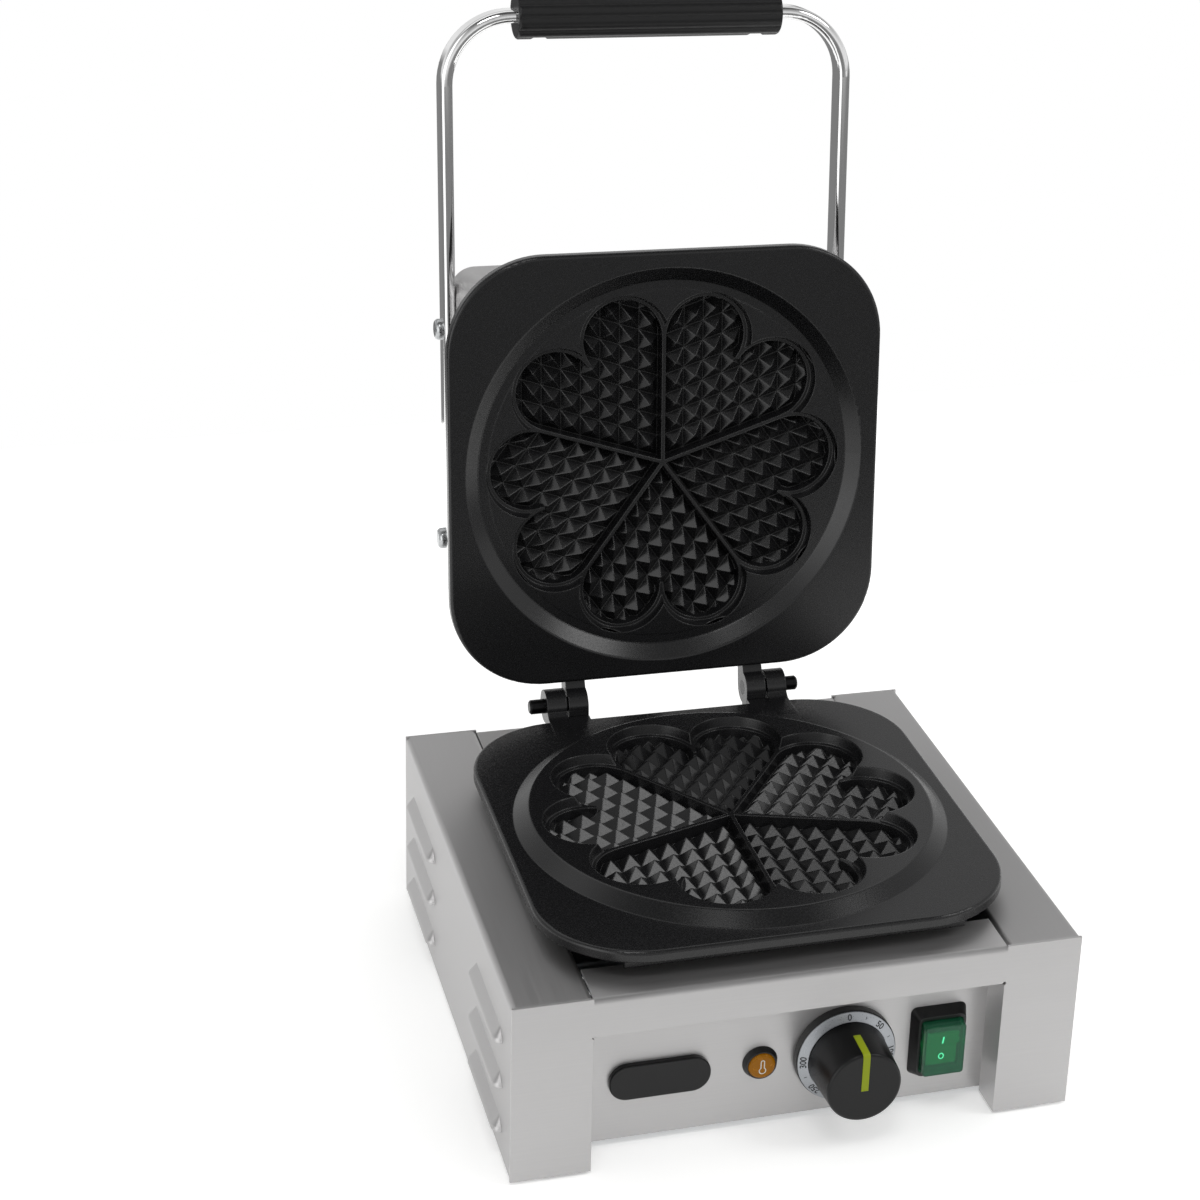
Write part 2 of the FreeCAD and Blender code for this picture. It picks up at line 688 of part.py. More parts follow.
def rubber_feet():
    x = floor_screw_x()
    y = BASE_DEPTH / 2 - SHEET - FLOOR_RETURN
    shapes = []
    for side in (-1, 1):
        for end in (-1, 1):
            corners = [(0, 0, 0), (FOOT_RADIUS, 0, FOOT_EDGE), (FOOT_RADIUS, FOOT_THICKNESS, 0),
                       (0, FOOT_THICKNESS, 0)]
            shapes.append(turned(corners, Vector(side * x, end * y, 0), UP))
    return shapes


# Carriers of the lower plate

def rail_middles():
    return (PLATE_MID_Y - BOSS_OFFSET, PLATE_MID_Y + BOSS_OFFSET)


def rail_screw_level():
    return LEDGE_Z - LEDGE_DOWNTURN / 2


def plate_rail(y_mid):
    """Cross rail: a channel whose end tabs stand against the ledges' downturned edges."""
    half = RAIL_WIDTH / 2
    section = [(y_mid - half, RAIL_Z - RAIL_LIP), (y_mid - half, RAIL_Z), (y_mid + half, RAIL_Z),
               (y_mid + half, RAIL_Z - RAIL_LIP)]
    section.reverse()
    channel = prism("YZ", -LEDGE_INNER_X, LEDGE_INNER_X, sheet_profile(section, RAIL_SHEET))
    pieces = [channel]
    tab_half = half - BEND_RADIUS
    for side in (-1, 1):
        tab_x = sorted((side * LEDGE_INNER_X, side * (LEDGE_INNER_X - RAIL_SHEET)))
        tab_top = LEDGE_Z - SHEET - SHEET_GAP
        pieces.append(block(*tab_x, y_mid - tab_half, y_mid + tab_half, RAIL_Z - RAIL_SHEET, tab_top))
    holes = []
    for x in (-BOSS_OFFSET, BOSS_OFFSET):
        start = Vector(x, y_mid, RAIL_Z - 2 * RAIL_SHEET)
        holes.append(rod(ROUND_SCREW + SCREW_FIT, 3 * RAIL_SHEET, start, UP))
    for side in (LEFT, RIGHT):
        for shift in (-RAIL_WIDTH / 4, RAIL_WIDTH / 4):
            inner_x = LEDGE_INNER_X - 2 * RAIL_SHEET
            start = Vector(side.x * inner_x, y_mid + shift, rail_screw_level())
            holes.append(rod(SMALL_SCREW + SCREW_FIT, 3 * RAIL_SHEET, start, side))
    return fused(pieces).cut(holes)


def rail_screws():
    shapes = []
    for side in (LEFT, RIGHT):
        for y_mid in rail_middles():
            for shift in (-RAIL_WIDTH / 4, RAIL_WIDTH / 4):
                head_x = side.x * (LEDGE_INNER_X - RAIL_SHEET)
                base = Vector(head_x, y_mid + shift, rail_screw_level())
                shapes.append(screw(SMALL_SCREW, RAIL_SHEET + 3 * SHEET, PAN_HEAD, base, side))
    return shapes


def boss_places():
    return [Vector(x, y, RAIL_Z) for x in (-BOSS_OFFSET, BOSS_OFFSET) for y in rail_middles()]


def plate_screws():
    length = RAIL_SHEET + BOSS_HEIGHT
    return [screw(ROUND_SCREW, length, PAN_HEAD, place - UP * RAIL_SHEET, UP) for place in boss_places()]


def heat_shield():
    """Tray under the lower element, hung from the undersides of the two rails."""
    front, rear = rail_middles()
    under = RAIL_Z - RAIL_SHEET
    lip = RAIL_WIDTH / 2 - 2 * BEND_RADIUS
    section = [
        (front - lip, under - SHIELD_SHEET),
        (front + lip, under - SHIELD_SHEET),
        (front + lip, SHIELD_Z),
        (rear - lip, SHIELD_Z),
        (rear - lip, under - SHIELD_SHEET),
        (rear + lip, under - SHIELD_SHEET),
    ]
    tray = prism("YZ", -SHIELD_WIDTH / 2, SHIELD_WIDTH / 2, sheet_profile(section, SHIELD_SHEET))
    holes = []
    for place in boss_places():
        holes.append(rod(2 * ROUND_SCREW + SHEET, 4 * RAIL_SHEET, place - UP * 4 * RAIL_SHEET, UP))
    return tray.cut(holes)


def insulation_pad():
    front, rear = rail_middles()
    lip = RAIL_WIDTH / 2 - 2 * BEND_RADIUS + SHIELD_SHEET
    half = SHIELD_WIDTH / 2 - PAD_MARGIN
    low = SHIELD_Z + SHIELD_SHEET
    corners = rectangle(-half, half, front + lip + PAD_MARGIN, rear - lip - PAD_MARGIN, PAD_MARGIN)
    return prism("XY", low, low + PAD_THICKNESS, corners)


# Cooking plates

def heart_wire(level, rib_half):
    """Heart about +X whose sides keep rib_half from the two rays that bound its share of the flower."""
    share = 2 * HALF_LOBE
    lobe = HALF_LOBE
    along = LOBE_PITCH_RADIUS * math.cos(lobe)
    across = LOBE_PITCH_RADIUS * math.sin(lobe)
    radius = across - rib_half
    tip = Vector(rib_half / math.sin(share), 0, level)
    foot = Vector(along * math.cos(share), along * math.sin(share), level)
    side = foot + Vector(math.sin(share), -math.cos(share), 0) * rib_half
    middle = Vector(along, across, level)
    outer = middle + Vector(math.cos(lobe), math.sin(lobe), 0) * radius
    cleft = Vector(along, rib_half, level)
    nose = Vector(along - rib_half, 0, level)

    def below(point):
        return Vector(point.x, -point.y, point.z)

    edges = [
        Part.makeLine(tip, below(side)),
        Part.Arc(below(side), below(outer), below(cleft)).toShape(),
        Part.Arc(below(cleft), nose, cleft).toShape(),
        Part.Arc(cleft, outer, side).toShape(),
        Part.makeLine(side, tip),
    ]
    return Part.Wire(edges)


def stud_ridges(first, turn):
    """Ridges with V grooves between them; first is the distance of the first groove from the heart's tip ray."""
    count = math.ceil(FLOWER_RADIUS / STUD_PITCH)
    span = 2 * LOBE_PITCH_RADIUS
    low = STUD_Z - 2 * GROOVE_FLOOR
    corners = [(first, low, 0)]
    for index in range(count):
        corners.append((first + index * STUD_PITCH, STUD_Z, 0))
        corners.append((first + (index + 0.5) * STUD_PITCH, STUD_Z + STUD_HEIGHT, 0))
    corners.append((first + count * STUD_PITCH, STUD_Z, 0))
    corners.append((first + count * STUD_PITCH, low, 0))
    ridges = prism("XZ", -span, span, corners)
    ridges.rotate(Vector(), UP, turn)
    return ridges


def heart_cutter():
    """Space of one heart cavity of the lower plate: drafted walls over a floor of pointed studs."""
    slope = math.tan(math.radians(CAVITY_DRAFT))
    half = RIB_WIDTH / 2
    above = RIB_DROP / 4
    below = CAVITY_DEPTH + GROOVE_FLOOR
    mouth = heart_wire(RIB_Z + above, half - above * slope)
    floor = heart_wire(RIB_Z - below, half + below * slope)
    space = Part.makeLoft([mouth, floor], True, True)
    first = half + CAVITY_DEPTH * slope
    turn = 90.0 - 180.0 / HEARTS
    studs = stud_ridges(first, turn).common(stud_ridges(first, -turn))
    return space.cut(studs)


def flower_cutters():
    """Space of the whole flower in the lower plate, one heart pointing at the hinge."""
    lobes = 2 * HEARTS
    lobe_step = 360.0 / lobes
    first = 90.0 + lobe_step / 2
    corners = []
    cutters = []
    over = PLATEAU_HEIGHT
    growth = WALL_FLARE / RIB_DROP
    for index in range(lobes):
        angle = math.radians(first + index * lobe_step)
        x = LOBE_PITCH_RADIUS * math.cos(angle)
        y = PLATE_MID_Y + LOBE_PITCH_RADIUS * math.sin(angle)
        corners.append((x, y, 0))
        wide = STEP_LOBE_RADIUS + growth * (RIB_DROP + over)
        cutters.append(Part.makeCone(STEP_LOBE_RADIUS, wide, RIB_DROP + over, Vector(x, y, RIB_Z)))
    cutters.append(prism("XY", RIB_Z, LAND_Z + over, corners))
    heart = heart_cutter()
    for index in range(HEARTS):
        turned_heart = heart.copy()
        turned_heart.rotate(Vector(), UP, 90.0 + index * 360.0 / HEARTS)
        turned_heart.translate(PLATE_MIDDLE)
        cutters.append(turned_heart)
    return cutters


def flange(low, face):
    """Rounded square flange between two levels, with a rounded edge on its cooking face."""
    half = PLATE_SIZE / 2
    corners = rectangle(-half, half, PLATE_FRONT_Y, PLATE_REAR_Y, PLATE_CORNER)
    plate = prism("XY", low, face, corners)
    rim = [edge for edge in plate.Edges if abs(edge.CenterOfMass.z - face) < 0.01]
    return plate.makeFillet(FLANGE_EDGE, rim)


def heel_y(z):
    """Where the open lid's heel faces the lower plate at a level."""
    angle = math.radians(LID_OPEN_ANGLE)
    return HINGE_Y - KNUCKLE_RADIUS / math.sin(angle) - (z - HINGE_Z) / math.tan(angle)


def element_groove():
    """Ring channel for the element in the underside of the lower plate's core."""
    half = ELEMENT_RADIUS + GROOVE_CLEARANCE
    depth = 2 * ELEMENT_RADIUS + SCREW_FIT
    corners = rectangle(ELEMENT_LOOP_RADIUS - half, ELEMENT_LOOP_RADIUS + half, 0, depth)
    return turned(corners, PLATE_MIDDLE + UP * CORE_Z, UP)


def lower_lug():
    """Right lug of the lower plate: a low toe on the flange that rises behind it into the knuckle."""
    inner = LUG_OUTER_X - LUG_WIDTH
    toe = [
        (PLATE_REAR_Y - LUG_TOE, FLANGE_Z - FLANGE_THICKNESS / 2, 0),
        (HINGE_Y, FLANGE_BOTTOM_Z, 0),
        (HINGE_Y, HINGE_Z, 0),
        (HINGE_Y - KNUCKLE_RADIUS, HINGE_Z, 0),
        (PLATE_REAR_Y + FLANGE_GAP, FLANGE_Z + LUG_RISE, LUG_ROUND),
        (PLATE_REAR_Y - LUG_TOE, FLANGE_Z, 0),
    ]
    web = prism("YZ", inner, LUG_OUTER_X, toe)
    knuckle = rod(KNUCKLE_RADIUS, LUG_WIDTH, Vector(inner, HINGE_Y, HINGE_Z), RIGHT)
    stop_face = [
        (PLATE_REAR_Y - LUG_TOE, FLANGE_BOTTOM_Z, 0),
        (heel_y(FLANGE_BOTTOM_Z) - HEEL_GAP, FLANGE_BOTTOM_Z, 0),
        (heel_y(FLANGE_Z) - HEEL_GAP, FLANGE_Z, 0),
        (PLATE_REAR_Y - LUG_TOE, FLANGE_Z, 0),
    ]
    stop = prism("YZ", LID_LUG_OUTER_X - LUG_WIDTH, inner, stop_face)
    return [web, knuckle, stop]


def lid_lug():
    """Right lug of the upper plate, drawn closed: an arm over the flange, a knuckle and a stop heel."""
    inner = LID_LUG_OUTER_X - LUG_WIDTH
    start = COVER_REAR_Y + LUG_COVER_GAP
    arm = [
        (start, FACE_Z + FLANGE_THICKNESS / 2, 0),
        (PLATE_REAR_Y, FACE_Z + FLANGE_THICKNESS / 2, 0),
        (HINGE_Y, HINGE_Z - KNUCKLE_RADIUS / 2, 0),
        (HINGE_Y, HINGE_Z + KNUCKLE_RADIUS, 0),
        (start, HINGE_Z + KNUCKLE_RADIUS + FLANGE_THICKNESS / 2, LUG_ROUND),
    ]
    heel = rectangle(HINGE_Y, HINGE_Y + HEEL_LENGTH, HINGE_Z - KNUCKLE_RADIUS, HINGE_Z, HEEL_ROUND)
    return [
        prism("YZ", inner, LID_LUG_OUTER_X, arm),
        prism("YZ", inner, LID_LUG_OUTER_X, heel),
        rod(KNUCKLE_RADIUS, LUG_WIDTH, Vector(inner, HINGE_Y, HINGE_Z), RIGHT),
    ]


def hinge_bores(inner_x, radius):
    return [rod(radius, LUG_WIDTH + 2 * LUG_GAP, Vector(side * (inner_x - LUG_GAP), HINGE_Y, HINGE_Z),
                RIGHT * side) for side in (-1, 1)]


def plate_core(low, high):
    return rod(CORE_RADIUS, high - low, PLATE_MIDDLE + UP * low, UP)


def clamp_screw_places():
    middle = (ELEMENT_LOOP_RADIUS + ELEMENT_RADIUS + CLAMP_OUTER_RADIUS) / 2
    places = []
    for index in range(CLAMP_SCREWS):
        angle = math.radians(45.0 + index * 360.0 / CLAMP_SCREWS)
        places.append(Vector(middle * math.cos(angle), PLATE_MID_Y + middle * math.sin(angle), CORE_Z))
    return places


def clamp_screw_holes():
    """Blind holes in the lower plate's core for the clamp screws."""
    depth = 3 * SMALL_SCREW
    return [rod(SMALL_SCREW + SCREW_FIT, depth, place, UP) for place in clamp_screw_places()]


def lower_plate():
    pieces = [flange(FLANGE_BOTTOM_Z, FLANGE_Z), plate_core(CORE_Z, FLANGE_Z)]
    foot = PLATE_MIDDLE + UP * FLANGE_Z
    plateau = [(0, 0, 0), (PLATEAU_FOOT_RADIUS, 0, 0), (PLATEAU_TOP_RADIUS, PLATEAU_HEIGHT, PLATEAU_EDGE),
               (0, PLATEAU_HEIGHT, 0)]
    pieces.append(turned(plateau, foot, UP))
    skirt_y = PLATE_FRONT_Y + SKIRT_SETBACK
    half = PLATE_SIZE / 2 - SKIRT_END_GAP
    skirt_z = FLANGE_BOTTOM_Z - SKIRT_HEIGHT
    skirt_top = FLANGE_BOTTOM_Z + FLANGE_THICKNESS / 2
    pieces.append(block(-half, half, skirt_y, skirt_y + SKIRT_DEPTH, skirt_z, skirt_top))
    for piece in lower_lug():
        pieces.append(piece)
        pieces.append(mirrored(piece))
    for place in boss_places():
        pieces.append(rod(BOSS_RADIUS, BOSS_HEIGHT, place, UP))
    cutters = flower_cutters() + [element_groove()] + clamp_screw_holes()
    cutters += hinge_bores(LUG_OUTER_X - LUG_WIDTH, PIN_RADIUS + PIN_SEAT_CLEARANCE)
    for place in boss_places():
        cutters.append(rod(ROUND_SCREW + SCREW_FIT, BOSS_HEIGHT + SCREW_FIT, place, UP))
    return fused(pieces).cut(cutters)


def lid_side(shape):
    """The lower plate's detail carried over to the upper plate."""
    return shape.mirror(Vector(0, 0, MIRROR_Z), UP)


def upper_plate():
    pieces = [flange(LID_FLANGE_Z, FACE_Z), plate_core(FACE_Z, LID_CORE_Z)]
    for piece in lid_lug():
        pieces.append(piece)
        pieces.append(mirrored(piece))
    slope = PLATEAU_SPREAD / PLATEAU_HEIGHT
    mouth = PLATEAU_FOOT_RADIUS + slope * (PLATE_GAP - FLANGE_GAP)
    depth = PLATEAU_HEIGHT + 2 * PLATE_GAP - FLANGE_GAP
    wide = mouth + 2 * PLATEAU_EDGE
    profile = [(0, -FLANGE_GAP, 0), (wide, -FLANGE_GAP, 0), (wide, 0, 0), (mouth, 0, PLATEAU_EDGE),
               (mouth - slope * depth, depth, 0), (0, depth, 0)]
    recess = turned(profile, PLATE_MIDDLE + UP * FACE_Z, UP)
    details = flower_cutters() + [element_groove()] + clamp_screw_holes()
    cutters = [recess] + [lid_side(shape) for shape in details]
    cutters += hinge_bores(LID_LUG_OUTER_X - LUG_WIDTH, PIN_RADIUS + PIN_RUNNING_CLEARANCE)
    for place in standoff_places():
        cutters.append(rod(SMALL_SCREW + SCREW_FIT, 3 * SMALL_SCREW, place, DOWN))
    return fused(pieces).cut(cutters)


def hinge_pin(side):
    """Pin pressed into the lower lug, proud of it on the outside and running in the upper lug."""
    start = LID_LUG_OUTER_X - LUG_WIDTH
    length = LUG_OUTER_X + PIN_PROUD - start
    corners = [(0, 0, 0), (PIN_RADIUS, 0, 0), (PIN_RADIUS, length - PIN_CHAMFER, 0),
               (PIN_RADIUS - PIN_CHAMFER, length, 0), (0, length, 0)]
    return turned(corners, Vector(side.x * start, HINGE_Y, HINGE_Z), side)


# Heating elements, drawn under the lower plate

def heating_element():
    """Tubular loop in the groove, its two cold ends bent down beside each other on the left."""
    level = CORE_Z + ELEMENT_RADIUS
    gap = math.asin((ELEMENT_LEG_SPACING / 2 + ELEMENT_BEND_RADIUS) / ELEMENT_LOOP_RADIUS)

    def on_loop(angle):
        place = Vector(ELEMENT_LOOP_RADIUS * math.cos(angle), ELEMENT_LOOP_RADIUS * math.sin(angle), level)
        return PLATE_MIDDLE + place

    edges = []
    ends = []
    for sign in (1, -1):
        angle = math.pi - sign * gap
        joint = on_loop(angle)
        heading = Vector(-math.sin(angle), math.cos(angle), 0) * sign
        middle = joint + heading * (ELEMENT_BEND_RADIUS * math.sin(math.pi / 4))
        middle += DOWN * (ELEMENT_BEND_RADIUS * (1 - math.cos(math.pi / 4)))
        turn_end = joint + heading * ELEMENT_BEND_RADIUS + DOWN * ELEMENT_BEND_RADIUS
        tip = turn_end + DOWN * ELEMENT_LEG
        ends.append((joint, middle, turn_end, tip))
    first, second = ends
    edges.append(Part.makeLine(first[3], first[2]))
    edges.append(Part.Arc(first[2], first[1], first[0]).toShape())
    edges.append(Part.Arc(first[0], on_loop(0), second[0]).toShape())
    edges.append(Part.Arc(second[0], second[1], second[2]).toShape())
    edges.append(Part.makeLine(second[2], second[3]))
    section = Part.Wire(Part.Circle(first[3], UP, ELEMENT_RADIUS).toShape())
    return Part.Wire(edges).makePipeShell([section], True, False)


def clamp_plate():
    """Ring that holds the element in its groove, cut away at the cold ends."""
    corners = rectangle(CLAMP_INNER_RADIUS, CLAMP_OUTER_RADIUS, 0, CLAMP_THICKNESS)
    ring = turned(corners, PLATE_MIDDLE + UP * CLAMP_Z, UP)
    gap = ELEMENT_LEG_SPACING / 2 + ELEMENT_BEND_RADIUS + 3 * ELEMENT_RADIUS
    notch = block(-CLAMP_OUTER_RADIUS - CLAMP_REACH, -CLAMP_INNER_RADIUS + CLAMP_REACH, PLATE_MID_Y - gap,
                  PLATE_MID_Y + gap, CLAMP_Z, CORE_Z)
    holes = []
    for place in clamp_screw_places():
        holes.append(rod(SMALL_SCREW + SCREW_FIT, 3 * CLAMP_THICKNESS, place + DOWN * 2 * CLAMP_THICKNESS, UP))
    return ring.cut([notch] + holes)


def clamp_screws():
    length = CLAMP_THICKNESS + 2.5 * SMALL_SCREW
    shapes = []
    for place in clamp_screw_places():
        shapes.append(screw(SMALL_SCREW, length, PAN_HEAD, place + DOWN * CLAMP_THICKNESS, UP))
    return shapes


# Lid, drawn closed

def standoff_places():
    return [Vector(x, PLATE_MID_Y + y, LID_CORE_Z)
            for x in (-STANDOFF_OFFSET, STANDOFF_OFFSET) for y in (-STANDOFF_OFFSET, STANDOFF_OFFSET)]


def standoff_height():
    return COVER_TOP_Z - SHEET - LID_CORE_Z


def cover_standoffs():
    shapes = []
    for place in standoff_places():
        post = rod(STANDOFF_RADIUS, standoff_height(), place, UP)
        stud = rod(SMALL_SCREW, 2.5 * SMALL_SCREW, place, DOWN)
        hole = rod(SMALL_SCREW + SCREW_FIT, 4 * SMALL_SCREW, place + UP * standoff_height(), DOWN)
        shapes.append(post.fuse(stud).cut(hole))
    return shapes


def cover_screws():
    length = SHEET + 3 * SMALL_SCREW
    shapes = []
    for place in standoff_places():
        top = Vector(place.x, place.y, COVER_TOP_Z)
        shapes.append(screw(SMALL_SCREW, length, PAN_HEAD, top, DOWN))
    return shapes


def cover_skin(inset):
    half = COVER_HALF_WIDTH - inset
    corners = rectangle(-half, half, COVER_FRONT_Y + inset, COVER_REAR_Y - inset, COVER_CORNER - inset)
    box = prism("XY", LID_FLANGE_Z, COVER_TOP_Z - inset, corners)
    rim = [edge for edge in box.Edges if edge.BoundBox.ZMin > COVER_TOP_Z - inset - 0.01]
    return box.makeFillet(COVER_EDGE - inset, rim)


def handle_screw_places():
    """Points on the outer faces of the arms, with the direction into the lid."""
    places = []
    for name, side in SIDES:
        for y in (PLATE_FRONT_Y + ARM_SCREW_FRONT, ARM_TAIL_Y - ARM_SCREW_TAIL):
            x = side.x * (COVER_HALF_WIDTH + HANDLE_THICKNESS)
            places.append((Vector(x, y, HANDLE_Z), side * -1))
    return places


def lid_cover():
    """Stainless box over the back of the upper plate, open towards the plate."""
    holes = []
    for place in standoff_places():
        start = Vector(place.x, place.y, COVER_TOP_Z - 2 * SHEET)
        holes.append(rod(SMALL_SCREW + SCREW_FIT, 3 * SHEET, start, UP))
    for place, inward in handle_screw_places():
        holes.append(rod(ROUND_SCREW + SCREW_FIT, HANDLE_THICKNESS + 2 * SHEET, place, inward))
    start = lid_gland_place() - BACKWARD * 2 * SHEET
    holes.append(rod(GLAND_RADIUS + SCREW_FIT, 3 * SHEET, start, BACKWARD))
    return cover_skin(0.0).cut([cover_skin(SHEET)] + holes)


def lid_gland_place():
    return Vector(0, COVER_REAR_Y, COVER_TOP_Z - SHEET - COVER_EDGE - GLAND_HEX)


def lid_pad():
    """Insulation between the upper clamp plate and the lid cover."""
    high = COVER_TOP_Z - SHEET
    half = STANDOFF_OFFSET + 2 * STANDOFF_RADIUS
    corners = rectangle(-half, half, PLATE_MID_Y - half, PLATE_MID_Y + half, STANDOFF_RADIUS)
    pad = prism("XY", high - LID_PAD_THICKNESS, high, corners)
    holes = []
    for place in standoff_places():
        holes.append(rod(STANDOFF_RADIUS + SHEET, standoff_height() + SHEET, place, UP))
    legs = block(-half, -half / 2, PLATE_MID_Y - half / 3, PLATE_MID_Y + half / 3, LID_CORE_Z, high)
    return pad.cut(holes + [legs])


# Handle, drawn closed

def bar_section(plane, offset, u, v, grow):
    """Flat oval section of the handle bar about a middle (u, v): thin along u, deep along v."""
    half_u = HANDLE_THICKNESS / 2 + grow
    half_v = HANDLE_DEPTH / 2 + grow
    return outline(plane, offset, rectangle(u - half_u, u + half_u, v - half_v, v + half_v, HANDLE_EDGE))


def handle_bar():
    """Flat oval bar: two arms along the lid's sides, joined by the run inside the grip."""
    bend = HANDLE_BEND_RADIUS
    diagonal = bend * math.sin(math.pi / 4)
    run_x = ARM_X - bend
    bend_y = GRIP_Y + bend
    tail = Vector(ARM_X, ARM_TAIL_Y, HANDLE_Z)
    arm_end = Vector(ARM_X, bend_y, HANDLE_Z)
    corner = Vector(run_x + diagonal, bend_y - diagonal, HANDLE_Z)
    run_end = Vector(run_x, GRIP_Y, HANDLE_Z)

    def across(point):
        return Vector(-point.x, point.y, point.z)

    edges = [
        Part.makeLine(tail, arm_end),
        Part.Arc(arm_end, corner, run_end).toShape(),
        Part.makeLine(run_end, across(run_end)),
        Part.Arc(across(run_end), across(corner), across(arm_end)).toShape(),
        Part.makeLine(across(arm_end), across(tail)),
    ]
    section = bar_section("XZ", ARM_TAIL_Y, ARM_X, HANDLE_Z, 0.0)
    bar = Part.Wire(edges).makePipeShell([section], True, False)
    holes = [rod(ROUND_SCREW + SCREW_FIT, HANDLE_THICKNESS, place, inward)
             for place, inward in handle_screw_places()]
    return bar.cut(holes)


def handle_screws():
    length = HANDLE_THICKNESS + 4 * SHEET
    return [screw(ROUND_SCREW, length, DOME_HEAD, place, inward) for place, inward in handle_screw_places()]


def grip_screw_places():
    x = GRIP_LENGTH / 2 - GRIP_SCREW_INSET
    return [Vector(side * x, GRIP_Y + HANDLE_THICKNESS / 2 + GRIP_SLOT_CLEARANCE, HANDLE_Z) for side in (-1, 1)]


def handle_grip():
    """Fluted sleeve with rounded ends on the bar's cross run."""
    step = math.pi / GRIP_FLUTES
    half = GRIP_LENGTH / 2

    def rim(radius, angle):
        return Vector(-half, GRIP_Y + radius * math.cos(angle), HANDLE_Z + radius * math.sin(angle))

    edges = []
    for index in range(GRIP_FLUTES):
        crest = 2 * index * step
        start = rim(GRIP_VALLEY_RADIUS, crest - step)
        middle = rim(GRIP_CREST_RADIUS, crest)
        end = rim(GRIP_VALLEY_RADIUS, crest + step)
        edges.append(Part.Arc(start, middle, end).toShape())
    sleeve = Part.Face(Part.Wire(edges)).extrude(RIGHT * GRIP_LENGTH)
    barrel = turned(
        [(0, 0, 0), (GRIP_CREST_RADIUS, 0, GRIP_END_ROUND), (GRIP_CREST_RADIUS, GRIP_LENGTH, GRIP_END_ROUND),
         (0, GRIP_LENGTH, 0)],
        Vector(-half, GRIP_Y, HANDLE_Z), RIGHT)
    slot = Part.Face(bar_section("YZ", -half, GRIP_Y, HANDLE_Z, GRIP_SLOT_CLEARANCE))
    cutters = [slot.extrude(RIGHT * GRIP_LENGTH)]
    for place in grip_screw_places():
        cutters.append(rod(SMALL_SCREW + SCREW_FIT, GRIP_CREST_RADIUS, place, BACKWARD))
        seat = place + BACKWARD * PAN_HEAD
        cutters.append(rod(2 * SMALL_SCREW + SCREW_FIT, GRIP_CREST_RADIUS, seat, BACKWARD))
    return sleeve.common(barrel).cut(cutters)


def grip_screws():
    shapes = []
    for place in grip_screw_places():
        shapes.append(screw(SMALL_SCREW, PAN_HEAD, PAN_HEAD, place + BACKWARD * PAN_HEAD, FORWARD))
    return shapes


# Controls on the recessed panel

def badge_plate():
    corners = rectangle(BADGE_X - BADGE_WIDTH / 2, BADGE_X + BADGE_WIDTH / 2,
                        CONTROL_Z - BADGE_HEIGHT / 2, CONTROL_Z + BADGE_HEIGHT / 2, BADGE_CORNER)
    front_y = PANEL_Y - BADGE_THICKNESS
    plate = prism("XZ", front_y, PANEL_Y, corners)
    rim = [edge for edge in plate.Edges if edge.BoundBox.YMax < front_y + 0.01]
    return plate.makeFillet(BADGE_EDGE, rim)


def lamp_bezel():
    """Tapered ring round the lamp's lens."""
    hole = LAMP_LENS_RADIUS + SCREW_FIT
    corners = [(hole, 0, 0), (LAMP_BEZEL_RADIUS, 0, 0), (LAMP_BEZEL_RIM_RADIUS, LAMP_BEZEL_HEIGHT, 0),
               (hole, LAMP_BEZEL_HEIGHT, 0)]
    return turned(corners, Vector(LAMP_X, PANEL_Y, CONTROL_Z), FORWARD)


def lamp_lens():
    corners = [(0, 0, 0), (LAMP_LENS_RADIUS, 0, 0), (LAMP_LENS_RADIUS, LAMP_LENS_HEIGHT, LAMP_LENS_EDGE),
               (0, LAMP_LENS_HEIGHT, 0)]
    return turned(corners, Vector(LAMP_X, PANEL_Y, CONTROL_Z), FORWARD)


def lamp_body():
    """Lamp holder behind the lens, with the nut that clamps it to the panel."""
    nut = LAMP_NUT_THICKNESS
    corners = [
        (0, 0, 0), (LAMP_BODY_RADIUS, 0, 0), (LAMP_BODY_RADIUS, SHEET, 0), (LAMP_BEZEL_RADIUS, SHEET, 0),
        (LAMP_BEZEL_RADIUS, SHEET + nut, 0), (LAMP_BODY_RADIUS, SHEET + nut, 0),
        (LAMP_BODY_RADIUS, LAMP_BODY_LENGTH, 0), (0, LAMP_BODY_LENGTH, 0),
    ]
    return turned(corners, Vector(LAMP_X, PANEL_Y, CONTROL_Z), BACKWARD)


def dial_backing():
    hole = THERMOSTAT_BUSH_RADIUS + SCREW_FIT
    corners = [(hole, 0, 0), (DIAL_BACKING_RADIUS, 0, 0),
               (DIAL_BACKING_RADIUS, DIAL_BACKING_THICKNESS, DIAL_BACKING_EDGE), (hole, DIAL_BACKING_THICKNESS, 0)]
    return turned(corners, Vector(DIAL_X, PANEL_Y, CONTROL_Z), FORWARD)


def scale_ring():
    """Conical ring for the numbers, rising from its rim towards the knob."""
    corners = [(SCALE_HOLE_RADIUS, 0, 0), (SCALE_RADIUS, 0, 0), (SCALE_RADIUS, SCALE_EDGE, 0),
               (SCALE_HOLE_RADIUS, SCALE_RISE, 0)]
    return turned(corners, Vector(DIAL_X, PANEL_Y - DIAL_BACKING_THICKNESS, CONTROL_Z), FORWARD)


def knob_form(grow):
    """Tapered outside of the knob, or a larger or smaller copy of it, as one solid."""
    corners = [(0, 0, 0), (KNOB_FOOT_RADIUS + grow, 0, 0),
               (KNOB_FACE_RADIUS + grow, KNOB_LENGTH + grow, KNOB_EDGE + grow), (0, KNOB_LENGTH + grow, 0)]
    return turned(corners, Vector(DIAL_X, KNOB_FOOT_Y, CONTROL_Z), FORWARD)


